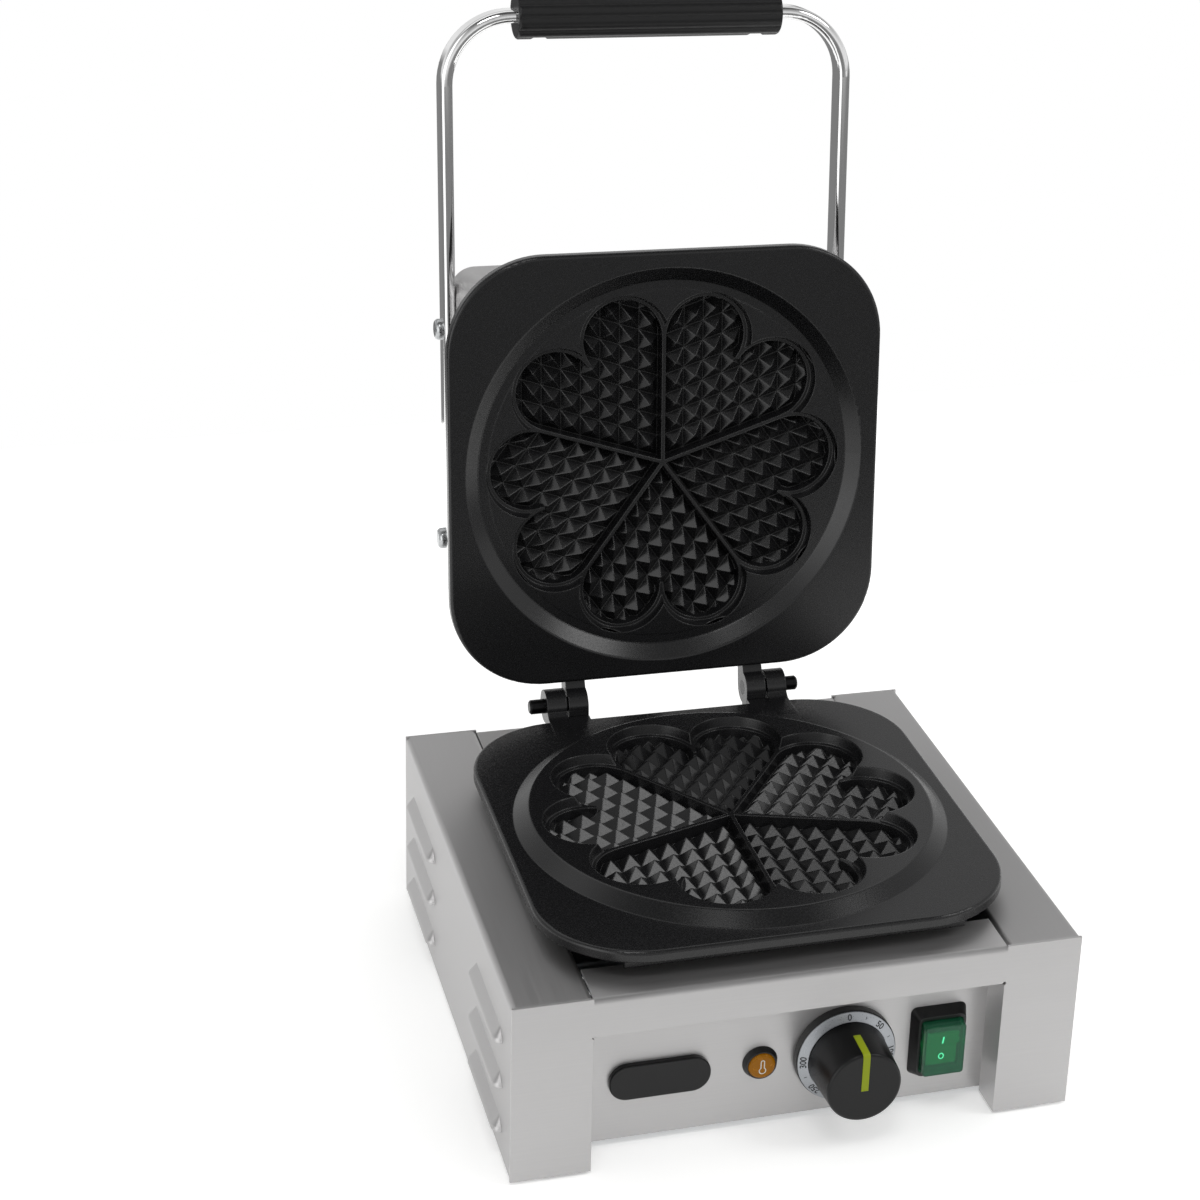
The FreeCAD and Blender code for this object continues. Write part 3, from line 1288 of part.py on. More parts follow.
def knob():
    """Hollow turned knob with a hub for the shaft and a groove for the pointer."""
    roof = KNOB_LENGTH - KNOB_WALL
    hollow = [(0, 0, 0), (KNOB_FOOT_RADIUS - KNOB_WALL, 0, 0), (KNOB_FACE_RADIUS - KNOB_WALL, roof, 0), (0, roof, 0)]
    place = Vector(DIAL_X, KNOB_FOOT_Y, CONTROL_Z)
    shell = knob_form(0.0).cut(turned(hollow, place, FORWARD))
    hub = rod(KNOB_HUB_RADIUS, roof + KNOB_WALL / 2, place, FORWARD)
    bore = rod(SHAFT_RADIUS + SHAFT_SEAT_CLEARANCE, roof, place, FORWARD)
    return fused([shell, hub]).cut([bore, knob_pointer()])


def knob_pointer():
    """Inlay from just past the knob's middle, over its edge and along its upper side."""
    half = POINTER_WIDTH / 2
    front_y = KNOB_FACE_Y - POINTER_PROUD
    top_z = CONTROL_Z + KNOB_FOOT_RADIUS + POINTER_WIDTH
    strip = block(DIAL_X - half, DIAL_X + half, front_y, KNOB_FACE_Y + POINTER_SIDE_LENGTH,
                  CONTROL_Z - POINTER_PAST_MIDDLE, top_z)
    return knob_form(POINTER_PROUD).cut(knob_form(-POINTER_INLAY)).common(strip)


def thermostat_shaft():
    start = Vector(DIAL_X, PANEL_BACK_Y + THERMOSTAT_DEPTH / 2, CONTROL_Z)
    length = start.y - (KNOB_FACE_Y + 2 * KNOB_WALL)
    return rod(SHAFT_RADIUS, length, start, FORWARD)


def thermostat_body():
    """Thermostat box on the back of the panel, with the bush that the shaft turns in."""
    half = THERMOSTAT_WIDTH / 2
    tall = THERMOSTAT_HEIGHT / 2
    box = prism("XZ", PANEL_BACK_Y, PANEL_BACK_Y + THERMOSTAT_DEPTH,
                rectangle(DIAL_X - half, DIAL_X + half, CONTROL_Z - tall, CONTROL_Z + tall, THERMOSTAT_CORNER))
    bush_length = SHEET + DIAL_BACKING_THICKNESS + SCALE_RISE
    bush = rod(THERMOSTAT_BUSH_RADIUS, bush_length, Vector(DIAL_X, PANEL_BACK_Y, CONTROL_Z), FORWARD)
    depth = THERMOSTAT_DEPTH / 2 + SHEET
    bore = rod(SHAFT_RADIUS + PIN_RUNNING_CLEARANCE, depth + bush_length + SHEET,
               Vector(DIAL_X, PANEL_BACK_Y + depth, CONTROL_Z), FORWARD)
    return fused([box, bush]).cut(bore)


def switch_frame(y, half_width, half_height, corner):
    """Wire round the switch's middle at a depth."""
    return outline("XZ", y, rectangle(SWITCH_X - half_width, SWITCH_X + half_width,
                                      CONTROL_Z - half_height, CONTROL_Z + half_height, corner))


def switch_body():
    """Switch housing: a flared bezel in front of the panel, a box behind, and a well for the rocker."""
    foot = switch_frame(PANEL_Y, SWITCH_WIDTH / 2, SWITCH_HEIGHT / 2, BEZEL_CORNER)
    rim = switch_frame(BEZEL_Y, SWITCH_WIDTH / 2 - BEZEL_FLARE, SWITCH_HEIGHT / 2 - BEZEL_FLARE, BEZEL_CORNER)
    bezel = Part.makeLoft([foot, rim], True, True)
    box = prism("XZ", PANEL_Y, PANEL_BACK_Y + SWITCH_BODY_DEPTH, switch_cut(0.0))
    mouth = Part.Face(switch_frame(BEZEL_Y, MOUTH_WIDTH / 2, MOUTH_HEIGHT / 2, MOUTH_CORNER))
    well = mouth.extrude(BACKWARD * BEZEL_THICKNESS)
    bore = rocker_pin(PIN_RUNNING_CLEARANCE, MOUTH_WIDTH + 2 * PIVOT_SEAT + SCREW_FIT)
    return fused([bezel, box]).cut([well, bore])


def rocker_pin(grow, length):
    start = Vector(SWITCH_X - length / 2, ROCKER_PIVOT_Y, CONTROL_Z)
    return rod(ROCKER_PIVOT_RADIUS + grow, length, start, RIGHT)


def rocker():
    """Rocker with two faces at an angle, on its own pivot pin; the lower end is pressed in."""
    half = ROCKER_HEIGHT / 2
    rise = half * math.tan(math.radians(ROCKER_TIP_ANGLE))
    front = BEZEL_Y - ROCKER_PROUD
    back = ROCKER_PIVOT_Y + ROCKER_PIVOT_RADIUS
    section = [
        (front - rise, CONTROL_Z + half, ROCKER_EDGE),
        (front, CONTROL_Z, 0),
        (front - rise, CONTROL_Z - half, ROCKER_EDGE),
        (back, CONTROL_Z - half / 2, 0),
        (back, CONTROL_Z + half / 2, 0),
    ]
    body = prism("YZ", SWITCH_X - ROCKER_WIDTH / 2, SWITCH_X + ROCKER_WIDTH / 2, section)
    whole = fused([body, rocker_pin(0.0, MOUTH_WIDTH + 2 * PIVOT_SEAT)])
    whole.rotate(Vector(SWITCH_X, ROCKER_PIVOT_Y, CONTROL_Z), RIGHT, ROCKER_TIP_ANGLE)
    return whole


def boot_skin(inset, back_y):
    half_width = MOUTH_WIDTH / 2 - BOOT_FIT - inset
    half_height = MOUTH_HEIGHT / 2 - BOOT_FIT - inset
    front_y = BEZEL_Y - BOOT_PROUD + inset
    foot = switch_frame(back_y, half_width, half_height, BOOT_CORNER)
    front = switch_frame(front_y, half_width - BOOT_SIDE_TAPER, half_height - BOOT_END_TAPER, BOOT_CORNER)
    return Part.makeLoft([foot, front], True, True)


def switch_boot():
    """Clear splash boot: a tapered hood over the rocker, seated just inside the bezel's mouth."""
    seat_y = ROCKER_PIVOT_Y - ROCKER_PIVOT_RADIUS - PIN_RUNNING_CLEARANCE - BOOT_FIT
    return boot_skin(0.0, seat_y).cut(boot_skin(BOOT_WALL, seat_y + BOOT_WALL))


# Pieces inside the base

def bulb_place():
    return PLATE_MIDDLE + UP * (CORE_Z - BULB_RADIUS)


def capillary():
    """Sensing bulb under the plate and its thin tube down to the thermostat."""
    middle = bulb_place()
    bulb_start = middle + LEFT * (BULB_LENGTH / 2)
    bulb = rod(BULB_RADIUS, BULB_LENGTH, bulb_start, RIGHT)
    tail = middle + RIGHT * (BULB_LENGTH / 2)
    edge_x = LEDGE_INNER_X - CAPILLARY_EDGE_GAP
    end = Vector(DIAL_X, PANEL_BACK_Y + THERMOSTAT_DEPTH, CONTROL_Z)
    points = [
        tail,
        Vector(edge_x, tail.y, CLAMP_Z - PAN_HEAD - 2 * CAPILLARY_RADIUS),
        Vector(edge_x, end.y + CAPILLARY_LOOP, end.z),
        Vector(end.x, end.y + CAPILLARY_LOOP, end.z),
        end,
    ]
    tube = bent_tube(CAPILLARY_RADIUS, points, (CAPILLARY_BEND, CAPILLARY_BEND, CAPILLARY_BEND))
    return fused([bulb, tube])


def bulb_clip():
    """Strap that holds the bulb against the plate."""
    outer = BULB_RADIUS + CLIP_SHEET
    low = CORE_Z - 2 * BULB_RADIUS - CLIP_SHEET
    section = [
        (PLATE_MID_Y - outer - CLIP_WING, CORE_Z),
        (PLATE_MID_Y - outer - CLIP_WING, CORE_Z - CLIP_SHEET),
        (PLATE_MID_Y - outer, CORE_Z - CLIP_SHEET),
        (PLATE_MID_Y - outer, low),
        (PLATE_MID_Y + outer, low),
        (PLATE_MID_Y + outer, CORE_Z - CLIP_SHEET),
        (PLATE_MID_Y + outer + CLIP_WING, CORE_Z - CLIP_SHEET),
        (PLATE_MID_Y + outer + CLIP_WING, CORE_Z),
        (PLATE_MID_Y + BULB_RADIUS, CORE_Z),
        (PLATE_MID_Y + BULB_RADIUS, low + CLIP_SHEET),
        (PLATE_MID_Y - BULB_RADIUS, low + CLIP_SHEET),
        (PLATE_MID_Y - BULB_RADIUS, CORE_Z),
    ]
    return prism("YZ", -CLIP_WIDTH / 2, CLIP_WIDTH / 2, [(u, v, 0) for u, v in section])


def thermal_cutout():
    """Bimetal cut-out against the plate's underside, with two blade terminals."""
    reach = (CLAMP_INNER_RADIUS - CUTOUT_RADIUS - CUTOUT_GAP) * math.cos(math.pi / 4)
    place = PLATE_MIDDLE + Vector(-reach, reach, CORE_Z)
    can = rod(CUTOUT_RADIUS, CUTOUT_HEIGHT, place, DOWN)
    low = CORE_Z - CUTOUT_HEIGHT - BLADE_LENGTH
    blades = []
    for side in (-1, 1):
        x = place.x + side * CUTOUT_RADIUS / 2
        blades.append(block(x - BLADE_THICKNESS / 2, x + BLADE_THICKNESS / 2,
                            place.y - BLADE_WIDTH / 2, place.y + BLADE_WIDTH / 2, low, CORE_Z - CUTOUT_HEIGHT / 2))
    return fused([can] + blades)


def terminal_block():
    """Ceramic terminal block on the bottom plate, with three wire holes and their screw wells."""
    x_mid = -BASE_WIDTH / 4
    y_mid = REAR_Y - TERMINAL_REAR_GAP
    low = FLOOR_Z + SHEET
    body = prism("XY", low, low + TERMINAL_HEIGHT, rectangle(
        x_mid - TERMINAL_LENGTH / 2, x_mid + TERMINAL_LENGTH / 2,
        y_mid - TERMINAL_DEPTH / 2, y_mid + TERMINAL_DEPTH / 2, TERMINAL_CORNER))
    cuts = []
    for index in (-1, 0, 1):
        x = x_mid + index * TERMINAL_LENGTH / 3
        start = Vector(x, y_mid - TERMINAL_DEPTH, low + TERMINAL_HEIGHT / 2)
        cuts.append(rod(TERMINAL_WIRE_RADIUS, 2 * TERMINAL_DEPTH, start, BACKWARD))
        well = Vector(x, y_mid, low + TERMINAL_HEIGHT / 2)
        cuts.append(rod(TERMINAL_SCREW_RADIUS, TERMINAL_HEIGHT / 2, well, UP))
    return body.cut(cuts)


def cable_gland(place, wall):
    """Gland through a wall: hexagon and domed cap outside, thread and nut inside."""
    hexagon = []
    for index in range(6):
        angle = math.radians(60.0 * index)
        hexagon.append((GLAND_HEX * math.cos(angle), GLAND_HEX * math.sin(angle), 0))
    cap_start = GLAND_HEX_THICKNESS
    cap_end = cap_start + GLAND_CAP_LENGTH
    cap_radius = GLAND_RADIUS + GLAND_CAP_WALL
    inner_end = wall + GLAND_THREAD
    body = prism("XZ", 0, cap_start, hexagon)
    nut = prism("XZ", -wall - GLAND_NUT_THICKNESS, -wall, hexagon)
    cap = turned([(0, cap_start, 0), (cap_radius, cap_start, 0), (cap_radius, cap_end, GLAND_CAP_ROUND),
                  (0, cap_end, 0)], Vector(), BACKWARD)
    thread = rod(GLAND_RADIUS, inner_end, Vector(0, -inner_end, 0), BACKWARD)
    throat = rod(GLAND_THROAT, inner_end + cap_end, Vector(0, -inner_end, 0), BACKWARD)
    gland = fused([body, nut, cap, thread]).cut(throat)
    gland.translate(place)
    return gland


# Writing the pieces

def build_base():
    right_panel = side_panel()
    save("side_panel_right", right_panel)
    save("side_panel_left", mirrored(right_panel))
    save("front_panel", front_panel())
    save("rear_panel", rear_panel())
    save("control_panel", control_panel())
    save("bottom_plate", bottom_plate())
    save_group("bottom_screws", floor_screws())
    save_group("rubber_feet", rubber_feet())
    for name, y_mid in zip(("front", "rear"), rail_middles()):
        save("plate_rail_" + name, plate_rail(y_mid))
    save_group("rail_screws", rail_screws())
    save_group("plate_screws", plate_screws())
    save("heat_shield", heat_shield())
    save("insulation_pad", insulation_pad())
    save("lower_plate", lower_plate())
    save("lower_heating_element", heating_element())
    save("lower_clamp_plate", clamp_plate())
    save_group("lower_clamp_screws", clamp_screws())
    for name, side in SIDES:
        save("hinge_pin_" + name, hinge_pin(side))


def build_lid():
    save("upper_plate", opened(upper_plate()))
    save("upper_heating_element", opened(lid_side(heating_element())))
    save("upper_clamp_plate", opened(lid_side(clamp_plate())))
    save_group("upper_clamp_screws", [opened(lid_side(shape)) for shape in clamp_screws()])
    save("lid_cover", opened(lid_cover()))
    save_group("cover_standoffs", [opened(shape) for shape in cover_standoffs()])
    save_group("cover_screws", [opened(shape) for shape in cover_screws()])
    save("lid_insulation_pad", opened(lid_pad()))
    save("lid_lead_gland", opened(cable_gland(lid_gland_place(), SHEET)))
    save("handle_bar", opened(handle_bar()))
    save_group("handle_screws", [opened(shape) for shape in handle_screws()])
    save("handle_grip", opened(handle_grip()))
    save_group("grip_screws", [opened(shape) for shape in grip_screws()])


def build_controls():
    save("badge_plate", badge_plate())
    save("lamp_bezel", lamp_bezel())
    save("lamp_lens", lamp_lens())
    save("lamp_body", lamp_body())
    save("dial_backing", dial_backing())
    save("scale_ring", scale_ring())
    save("knob", knob())
    save("knob_pointer", knob_pointer())
    save("thermostat_shaft", thermostat_shaft())
    save("thermostat_body", thermostat_body())
    save("switch_body", switch_body())
    save("switch_boot", switch_boot())
    save("rocker", rocker())


def build_inside():
    save("capillary_bulb", capillary())
    save("bulb_clip", bulb_clip())
    save("thermal_cutout", thermal_cutout())
    save("terminal_block", terminal_block())
    mains, lid_lead = gland_places()
    save("mains_gland", cable_gland(mains, SHEET))
    save("base_lead_gland", cable_gland(lid_lead, SHEET))


os.makedirs("parts", exist_ok=True)
build_base()
build_lid()
build_controls()
build_inside()
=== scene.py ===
"""Looks for a countertop heart waffle maker: finishes, printed marks, studio and camera."""

import math

import bpy
from bpy.props import FloatProperty, FloatVectorProperty, PointerProperty
from bpy.types import Operator, Panel, PropertyGroup
from mathutils import Matrix, Vector
from mathutils.bvhtree import BVHTree


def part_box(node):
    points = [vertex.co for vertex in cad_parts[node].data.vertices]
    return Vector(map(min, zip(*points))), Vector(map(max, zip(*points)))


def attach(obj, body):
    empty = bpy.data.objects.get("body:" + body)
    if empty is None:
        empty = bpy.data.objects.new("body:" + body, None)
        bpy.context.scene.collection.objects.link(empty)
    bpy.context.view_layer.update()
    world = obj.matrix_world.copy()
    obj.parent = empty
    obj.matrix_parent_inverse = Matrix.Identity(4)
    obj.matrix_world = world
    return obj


bl_info = {
    "name": "Heart waffle maker looks",
    "version": (1, 0, 0),
    "blender": (4, 5, 0),
    "location": "3D View > Sidebar > Waffle maker",
    "description": "Finishes, printed marks, studio and camera for a heart waffle maker",
    "category": "Object",
}

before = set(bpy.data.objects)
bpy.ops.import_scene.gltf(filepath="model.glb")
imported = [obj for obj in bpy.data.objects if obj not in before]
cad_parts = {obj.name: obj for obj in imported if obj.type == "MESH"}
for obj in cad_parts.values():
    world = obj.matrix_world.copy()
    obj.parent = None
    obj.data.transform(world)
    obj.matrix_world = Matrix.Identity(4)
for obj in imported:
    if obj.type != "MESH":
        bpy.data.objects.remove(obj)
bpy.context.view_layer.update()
MM = 0.001
EDGE_ROUND = 0.35 * MM
BRUSH_RELIEF = 0.0006 * MM

# Printed marks: how far ink stands off its face, the dial's figures and its turn
INK_LIFT = 0.04 * MM
RAY_START = 10 * MM
FIGURES = ("0", "50", "100", "150", "200", "250", "300")
DIAL_TURN = math.radians(270.0)
FIGURE_BOLDNESS = 0.02
TICK_HALF_WIDTH = 0.15 * MM

# Switch marks, from the rocker's middle: half sizes across and up
ON_RISE = 4.3 * MM
ON_STROKE = (0.38 * MM, 2.1 * MM)
OFF_DROP = 4.6 * MM
OFF_OUTSIDE = (1.35 * MM, 1.6 * MM)
OFF_INSIDE = (0.85 * MM, 1.1 * MM)
OVAL_STEPS = 40

# Thermometer sign, from the lens's middle
BULB_RADIUS = 1.45 * MM
BULB_DROP = 1.8 * MM
BULB_STEPS = 24
STEM_RADIUS = 0.75 * MM
STEM_RISE = 2.5 * MM
STEM_STEPS = 12
SIGN_HALF_LINE = 0.22 * MM

# Studio: lamps as name, place, size and the property with their power
LAMP_AIM = (0, 0, 0.1)
LAMPS = (
    ("key_lamp", (-0.37, -0.92, 2.06), 0.7, "key_power"),
    ("fill_lamp", (1.29, -0.7, 1.46), 0.8, "fill_power"),
)
FLOOR_HALF = 0.75
FLOOR_NEAR = -0.45
WHITE = (1, 1, 1, 1)

# Camera, fitted to the housing's and the plates' edges: azimuth, elevation and roll in degrees
CAMERA_ANGLES = (-19.19, 22.853, 3.356)
CAMERA_PLACE = (-0.328235, -1.040214, 0.702139)
CAMERA_SENSOR = 36.0
CAMERA_LENS = 81.85
CAMERA_SHIFT = (-0.1783, -0.0673)


def linear(code):
    """Turns an sRGB hex value into linear red, green and blue."""
    channels = [int(code[place:place + 2], 16) / 255.0 for place in (1, 3, 5)]
    return [c / 12.92 if c <= 0.04045 else ((c + 0.055) / 1.055) ** 2.4 for c in channels]


def colour(label, about, code):
    """Colour property with an sRGB hex default."""
    return FloatVectorProperty(name=label, description=about, subtype="COLOR", size=3, min=0, max=1,
                               default=linear(code))


def length(label, about, value):
    """Length property with a default in millimetres."""
    return FloatProperty(name=label, description=about, unit="LENGTH", default=value * MM, min=0,
                         precision=5)


def strength(label, about, value, **more):
    """Plain number or power with its default."""
    return FloatProperty(name=label, description=about, default=value, **more)


class HousingLooks(PropertyGroup):
    steel: colour("Steel", "Brushed stainless sheet", "#C3C2C2")
    steel_shade: colour("Steel shade", "Darker streaks in the brushing", "#BAB9B9")
    polished: colour("Polished bar", "Polished stainless handle bar", "#EEEEEE")
    streak_length: length("Streak length", "Length of one brushing streak", 45.0)
    streak_width: length("Streak width", "Width of one brushing streak, drawn coarse", 0.7)
    spread: strength("Spread", "How far the shine is drawn out across the brushing", 0.8, min=0, max=1)


class PlateLooks(PropertyGroup):
    coat: colour("Coat", "Non-stick coat on the castings", "#0F0F0F")
    coat_light: colour("Coat flecks", "Paler flecks in the coat", "#18181A")
    fleck: length("Fleck", "Size of a fleck in the coat, drawn coarse", 0.8)
    edge: length("Edge", "Rounding that the coat gives to cast edges", 0.8)


class ControlLooks(PropertyGroup):
    plastic: colour("Plastic", "Black moulded plastic", "#0B0B0C")
    knob: colour("Knob", "Black moulded knob", "#0A0A0B")
    pointer: colour("Pointer", "Pointer inlay on the knob", "#97A51C")
    ring: colour("Scale ring", "Satin anodised ring", "#A4A7AB")
    ink: colour("Ink", "Printed scale marks", "#17181A")
    amber: colour("Amber", "Lamp lens", "#A86C04")
    boot: colour("Boot", "Clear green splash boot", "#3FA97D")
    rocker: colour("Rocker", "Green rocker", "#12A868")
    mark: colour("Marks", "Pale marks on the switch and the lamp", "#E9EDE6")
    numeral_height: length("Numeral height", "Height of the figures on the ring", 2.9)
    tick_length: length("Tick length", "Length of the marks between the figures", 1.3)


class StageLooks(PropertyGroup):
    floor: colour("Floor", "Pale studio floor", "#F4F4F3")
    key_power: strength("Key lamp", "Power of the overhead lamp", 5.5, unit="POWER")
    fill_power: strength("Fill lamp", "Power of the right lamp", 6.5, unit="POWER")
    sky: strength("Sky", "Strength of the soft light from above and around", 0.7)
    screen: strength("Screen", "Strength of the pale screen high behind", 0.9)
    left_screen: strength("Left screen", "Strength of the pale screen at the front left", 1.5)


def add_node(tree, kind, inputs, **settings):
    """Adds a node; inputs gives each socket a value or another node's output."""
    node = tree.nodes.new(kind)
    for name, value in settings.items():
        setattr(node, name, value)
    for socket, value in inputs.items():
        if isinstance(value, bpy.types.NodeSocket):
            tree.links.new(value, node.inputs[socket])
        else:
            node.inputs[socket].default_value = value
    return node


def span(start, stop, low, high):
    """Socket values that map start to low and stop to high."""
    return {"From Min": start, "From Max": stop, "To Min": low, "To Max": high}


def opaque(rgb):
    """Colour with full alpha."""
    return [*rgb, 1.0]


def scaled(rgb, factor):
    """Colour made darker or lighter by a factor."""
    return [value * factor for value in rgb]


def even(size):
    """Grain of the same size each way."""
    return (size, size, size)


def finish(name, dark, light, grain, relief, roughness, metallic=0.0, edge=EDGE_ROUND, **sockets):
    """Material whose tint, gloss and relief follow one grain, sized in metres along X, Y and Z."""
    made = bpy.data.materials.new(name)
    made.use_nodes = True
    tree = made.node_tree
    shader = tree.nodes["Principled BSDF"]
    place = add_node(tree, "ShaderNodeTexCoord", {})
    sized = add_node(tree, "ShaderNodeMapping", {"Vector": place.outputs["Object"],
                                                 "Scale": [1.0 / size for size in grain]})
    pattern = add_node(tree, "ShaderNodeTexNoise", {"Vector": sized.outputs[0], "Scale": 1.0,
                                                    "Detail": 3.0})
    tint = add_node(tree, "ShaderNodeMix", {0: pattern.outputs[0], 6: opaque(dark), 7: opaque(light)},
                    data_type="RGBA")
    gloss = add_node(tree, "ShaderNodeMapRange", {"Value": pattern.outputs[0],
                                                  **span(0.3, 0.7, *roughness)})
    rounded = add_node(tree, "ShaderNodeBevel", {"Radius": edge}, samples=6)
    bump = add_node(tree, "ShaderNodeBump", {"Height": pattern.outputs[0], "Distance": relief,
                                             "Strength": 1.0, "Normal": rounded.outputs[0]})
    tree.links.new(tint.outputs[2], shader.inputs["Base Color"])
    tree.links.new(gloss.outputs[0], shader.inputs["Roughness"])
    tree.links.new(bump.outputs[0], shader.inputs["Normal"])
    shader.inputs["Metallic"].default_value = metallic
    for socket, value in sockets.items():
        shader.inputs[socket.replace("_", " ")].default_value = value
    return made


def dress(material, *names):
    """Gives nodes one material."""
    for name in names:
        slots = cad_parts[name].data.materials
        slots.clear()
        slots.append(material)


def brushed_steel(name, looks, axis, roughness):
    """Stainless sheet, belt brushed along one axis: fine straight streaks and a soft, drawn-out shine."""
    grain = [looks.streak_width] * 3
    grain[axis] = looks.streak_length
    made = finish(name, looks.steel_shade, looks.steel, grain, BRUSH_RELIEF, roughness, metallic=1.0,
                  Anisotropic=looks.spread)
    tree = made.node_tree
    # A little off the axis, so that faces square to the brushing have a direction too
    along = [0.03, 0.02, 0.03]
    along[axis] = 1.0
    facing = add_node(tree, "ShaderNodeNewGeometry", {})
    across = add_node(tree, "ShaderNodeVectorMath", {0: facing.outputs["Normal"], 1: along},
                      operation="CROSS_PRODUCT")
    tree.links.new(across.outputs[0], tree.nodes["Principled BSDF"].inputs["Tangent"])
    return made


class WAFFLE_OT_housing(Operator):
    """Brushed stainless housing and lid cover, with plain steel below and behind"""

    bl_idname = "waffle.housing"
    bl_label = "Dress the housing"

    def execute(self, context):
        looks = context.scene.waffle_housing
        dress(brushed_steel("stainless_brushed_across", looks, 0, (0.38, 0.44)),
              "front_panel", "control_panel", "rear_panel", "lid_cover")
        dress(brushed_steel("stainless_brushed_front_to_back", looks, 1, (0.42, 0.48)),
              "side_panel_left", "side_panel_right")
        # Zinc-coated steel sheet, hot dipped: a dull blue-grey with large pale crystals
        zinc = finish("zinc_sheet_hot_dipped", linear("#8E9296"), linear("#B5B9BC"), even(9 * MM),
                      relief=0.002 * MM, roughness=(0.35, 0.55), metallic=1.0)
        dress(zinc, "bottom_plate", "plate_rail_front", "plate_rail_rear", "heat_shield",
              "lower_clamp_plate", "upper_clamp_plate", "bulb_clip")
        # Moulded nitrile rubber: dull, nearly black, with a fine pebble
        rubber = finish("nitrile_rubber_moulded", linear("#141414"), linear("#1F1F1E"), even(0.9 * MM),
                        relief=0.02 * MM, roughness=(0.6, 0.8))
        dress(rubber, "rubber_feet")
        return {"FINISHED"}


class WAFFLE_OT_fasteners(Operator):
    """Screws, standoffs and hinge pins"""

    bl_idname = "waffle.fasteners"
    bl_label = "Dress the fasteners"

    def execute(self, context):
        # Zinc-plated steel screws, rolled and plated: bright, with a faint handling haze
        plated = finish("screw_steel_zinc_plated", linear("#A3A5A6"), linear("#C3C5C6"), even(1.2 * MM),
                        relief=0.003 * MM, roughness=(0.2, 0.36), metallic=1.0)
        dress(plated, "bottom_screws", "rail_screws", "plate_screws", "lower_clamp_screws",
              "upper_clamp_screws", "cover_standoffs", "cover_screws", "handle_screws", "grip_screws",
              "thermostat_shaft")
        # Turned steel, blacked in hot oil: dark with a low shine
        blacked = finish("pin_steel_blacked", linear("#1C1C1D"), linear("#2B2B2C"), even(0.8 * MM),
                         relief=0.003 * MM, roughness=(0.28, 0.42), metallic=1.0)
        dress(blacked, "hinge_pin_left", "hinge_pin_right")
        return {"FINISHED"}


class WAFFLE_OT_plates(Operator):
    """Non-stick cooking plates, with their elements and insulation"""

    bl_idname = "waffle.plates"
    bl_label = "Dress the cooking plates"

    def execute(self, context):
        looks = context.scene.waffle_plates
        # Cast aluminium with a sprayed and baked non-stick coat: deep black, satin, faintly pebbled
        coat = finish("aluminium_cast_nonstick_coat", looks.coat, looks.coat_light, even(looks.fleck),
                      relief=0.003 * MM, roughness=(0.22, 0.3), edge=looks.edge, IOR=1.48)
        dress(coat, "lower_plate", "upper_plate")
        # Stainless element sheath, heated in use: brown-grey and dull
        sheath = finish("element_sheath_heat_tinted", linear("#4A443E"), linear("#6B6259"), even(14 * MM),
                        relief=0.004 * MM, roughness=(0.4, 0.55), metallic=1.0)
        dress(sheath, "lower_heating_element", "upper_heating_element")
        # Needled mineral wool: pale, matt and fibrous
        wool = finish("mineral_wool_needled", linear("#B9B19C"), linear("#D8D2C0"), even(1.6 * MM),
                      relief=0.3 * MM, roughness=(0.85, 0.98))
        dress(wool, "insulation_pad", "lid_insulation_pad")
        return {"FINISHED"}


class WAFFLE_OT_handle(Operator):
    """Polished handle bar and its fluted grip"""

    bl_idname = "waffle.handle"
    bl_label = "Dress the handle"

    def execute(self, context):
        looks = context.scene.waffle_housing
        # Stainless bar, buffed: mirror bright with hair-fine wipe marks along it
        polished = finish("stainless_bar_polished", scaled(looks.polished, 0.9), looks.polished,
                          (0.8 * MM, 8 * MM, 14 * MM), relief=0.0008 * MM, roughness=(0.05, 0.1),
                          metallic=1.0)
        dress(polished, "handle_bar")
        # Phenolic grip, moulded: black with a soft shine on its flutes
        grip = finish("phenolic_grip_moulded", linear("#0B0B0C"), linear("#131314"), even(1.0 * MM),
                      relief=0.008 * MM, roughness=(0.34, 0.46), IOR=1.42)
        dress(grip, "handle_grip")
        return {"FINISHED"}


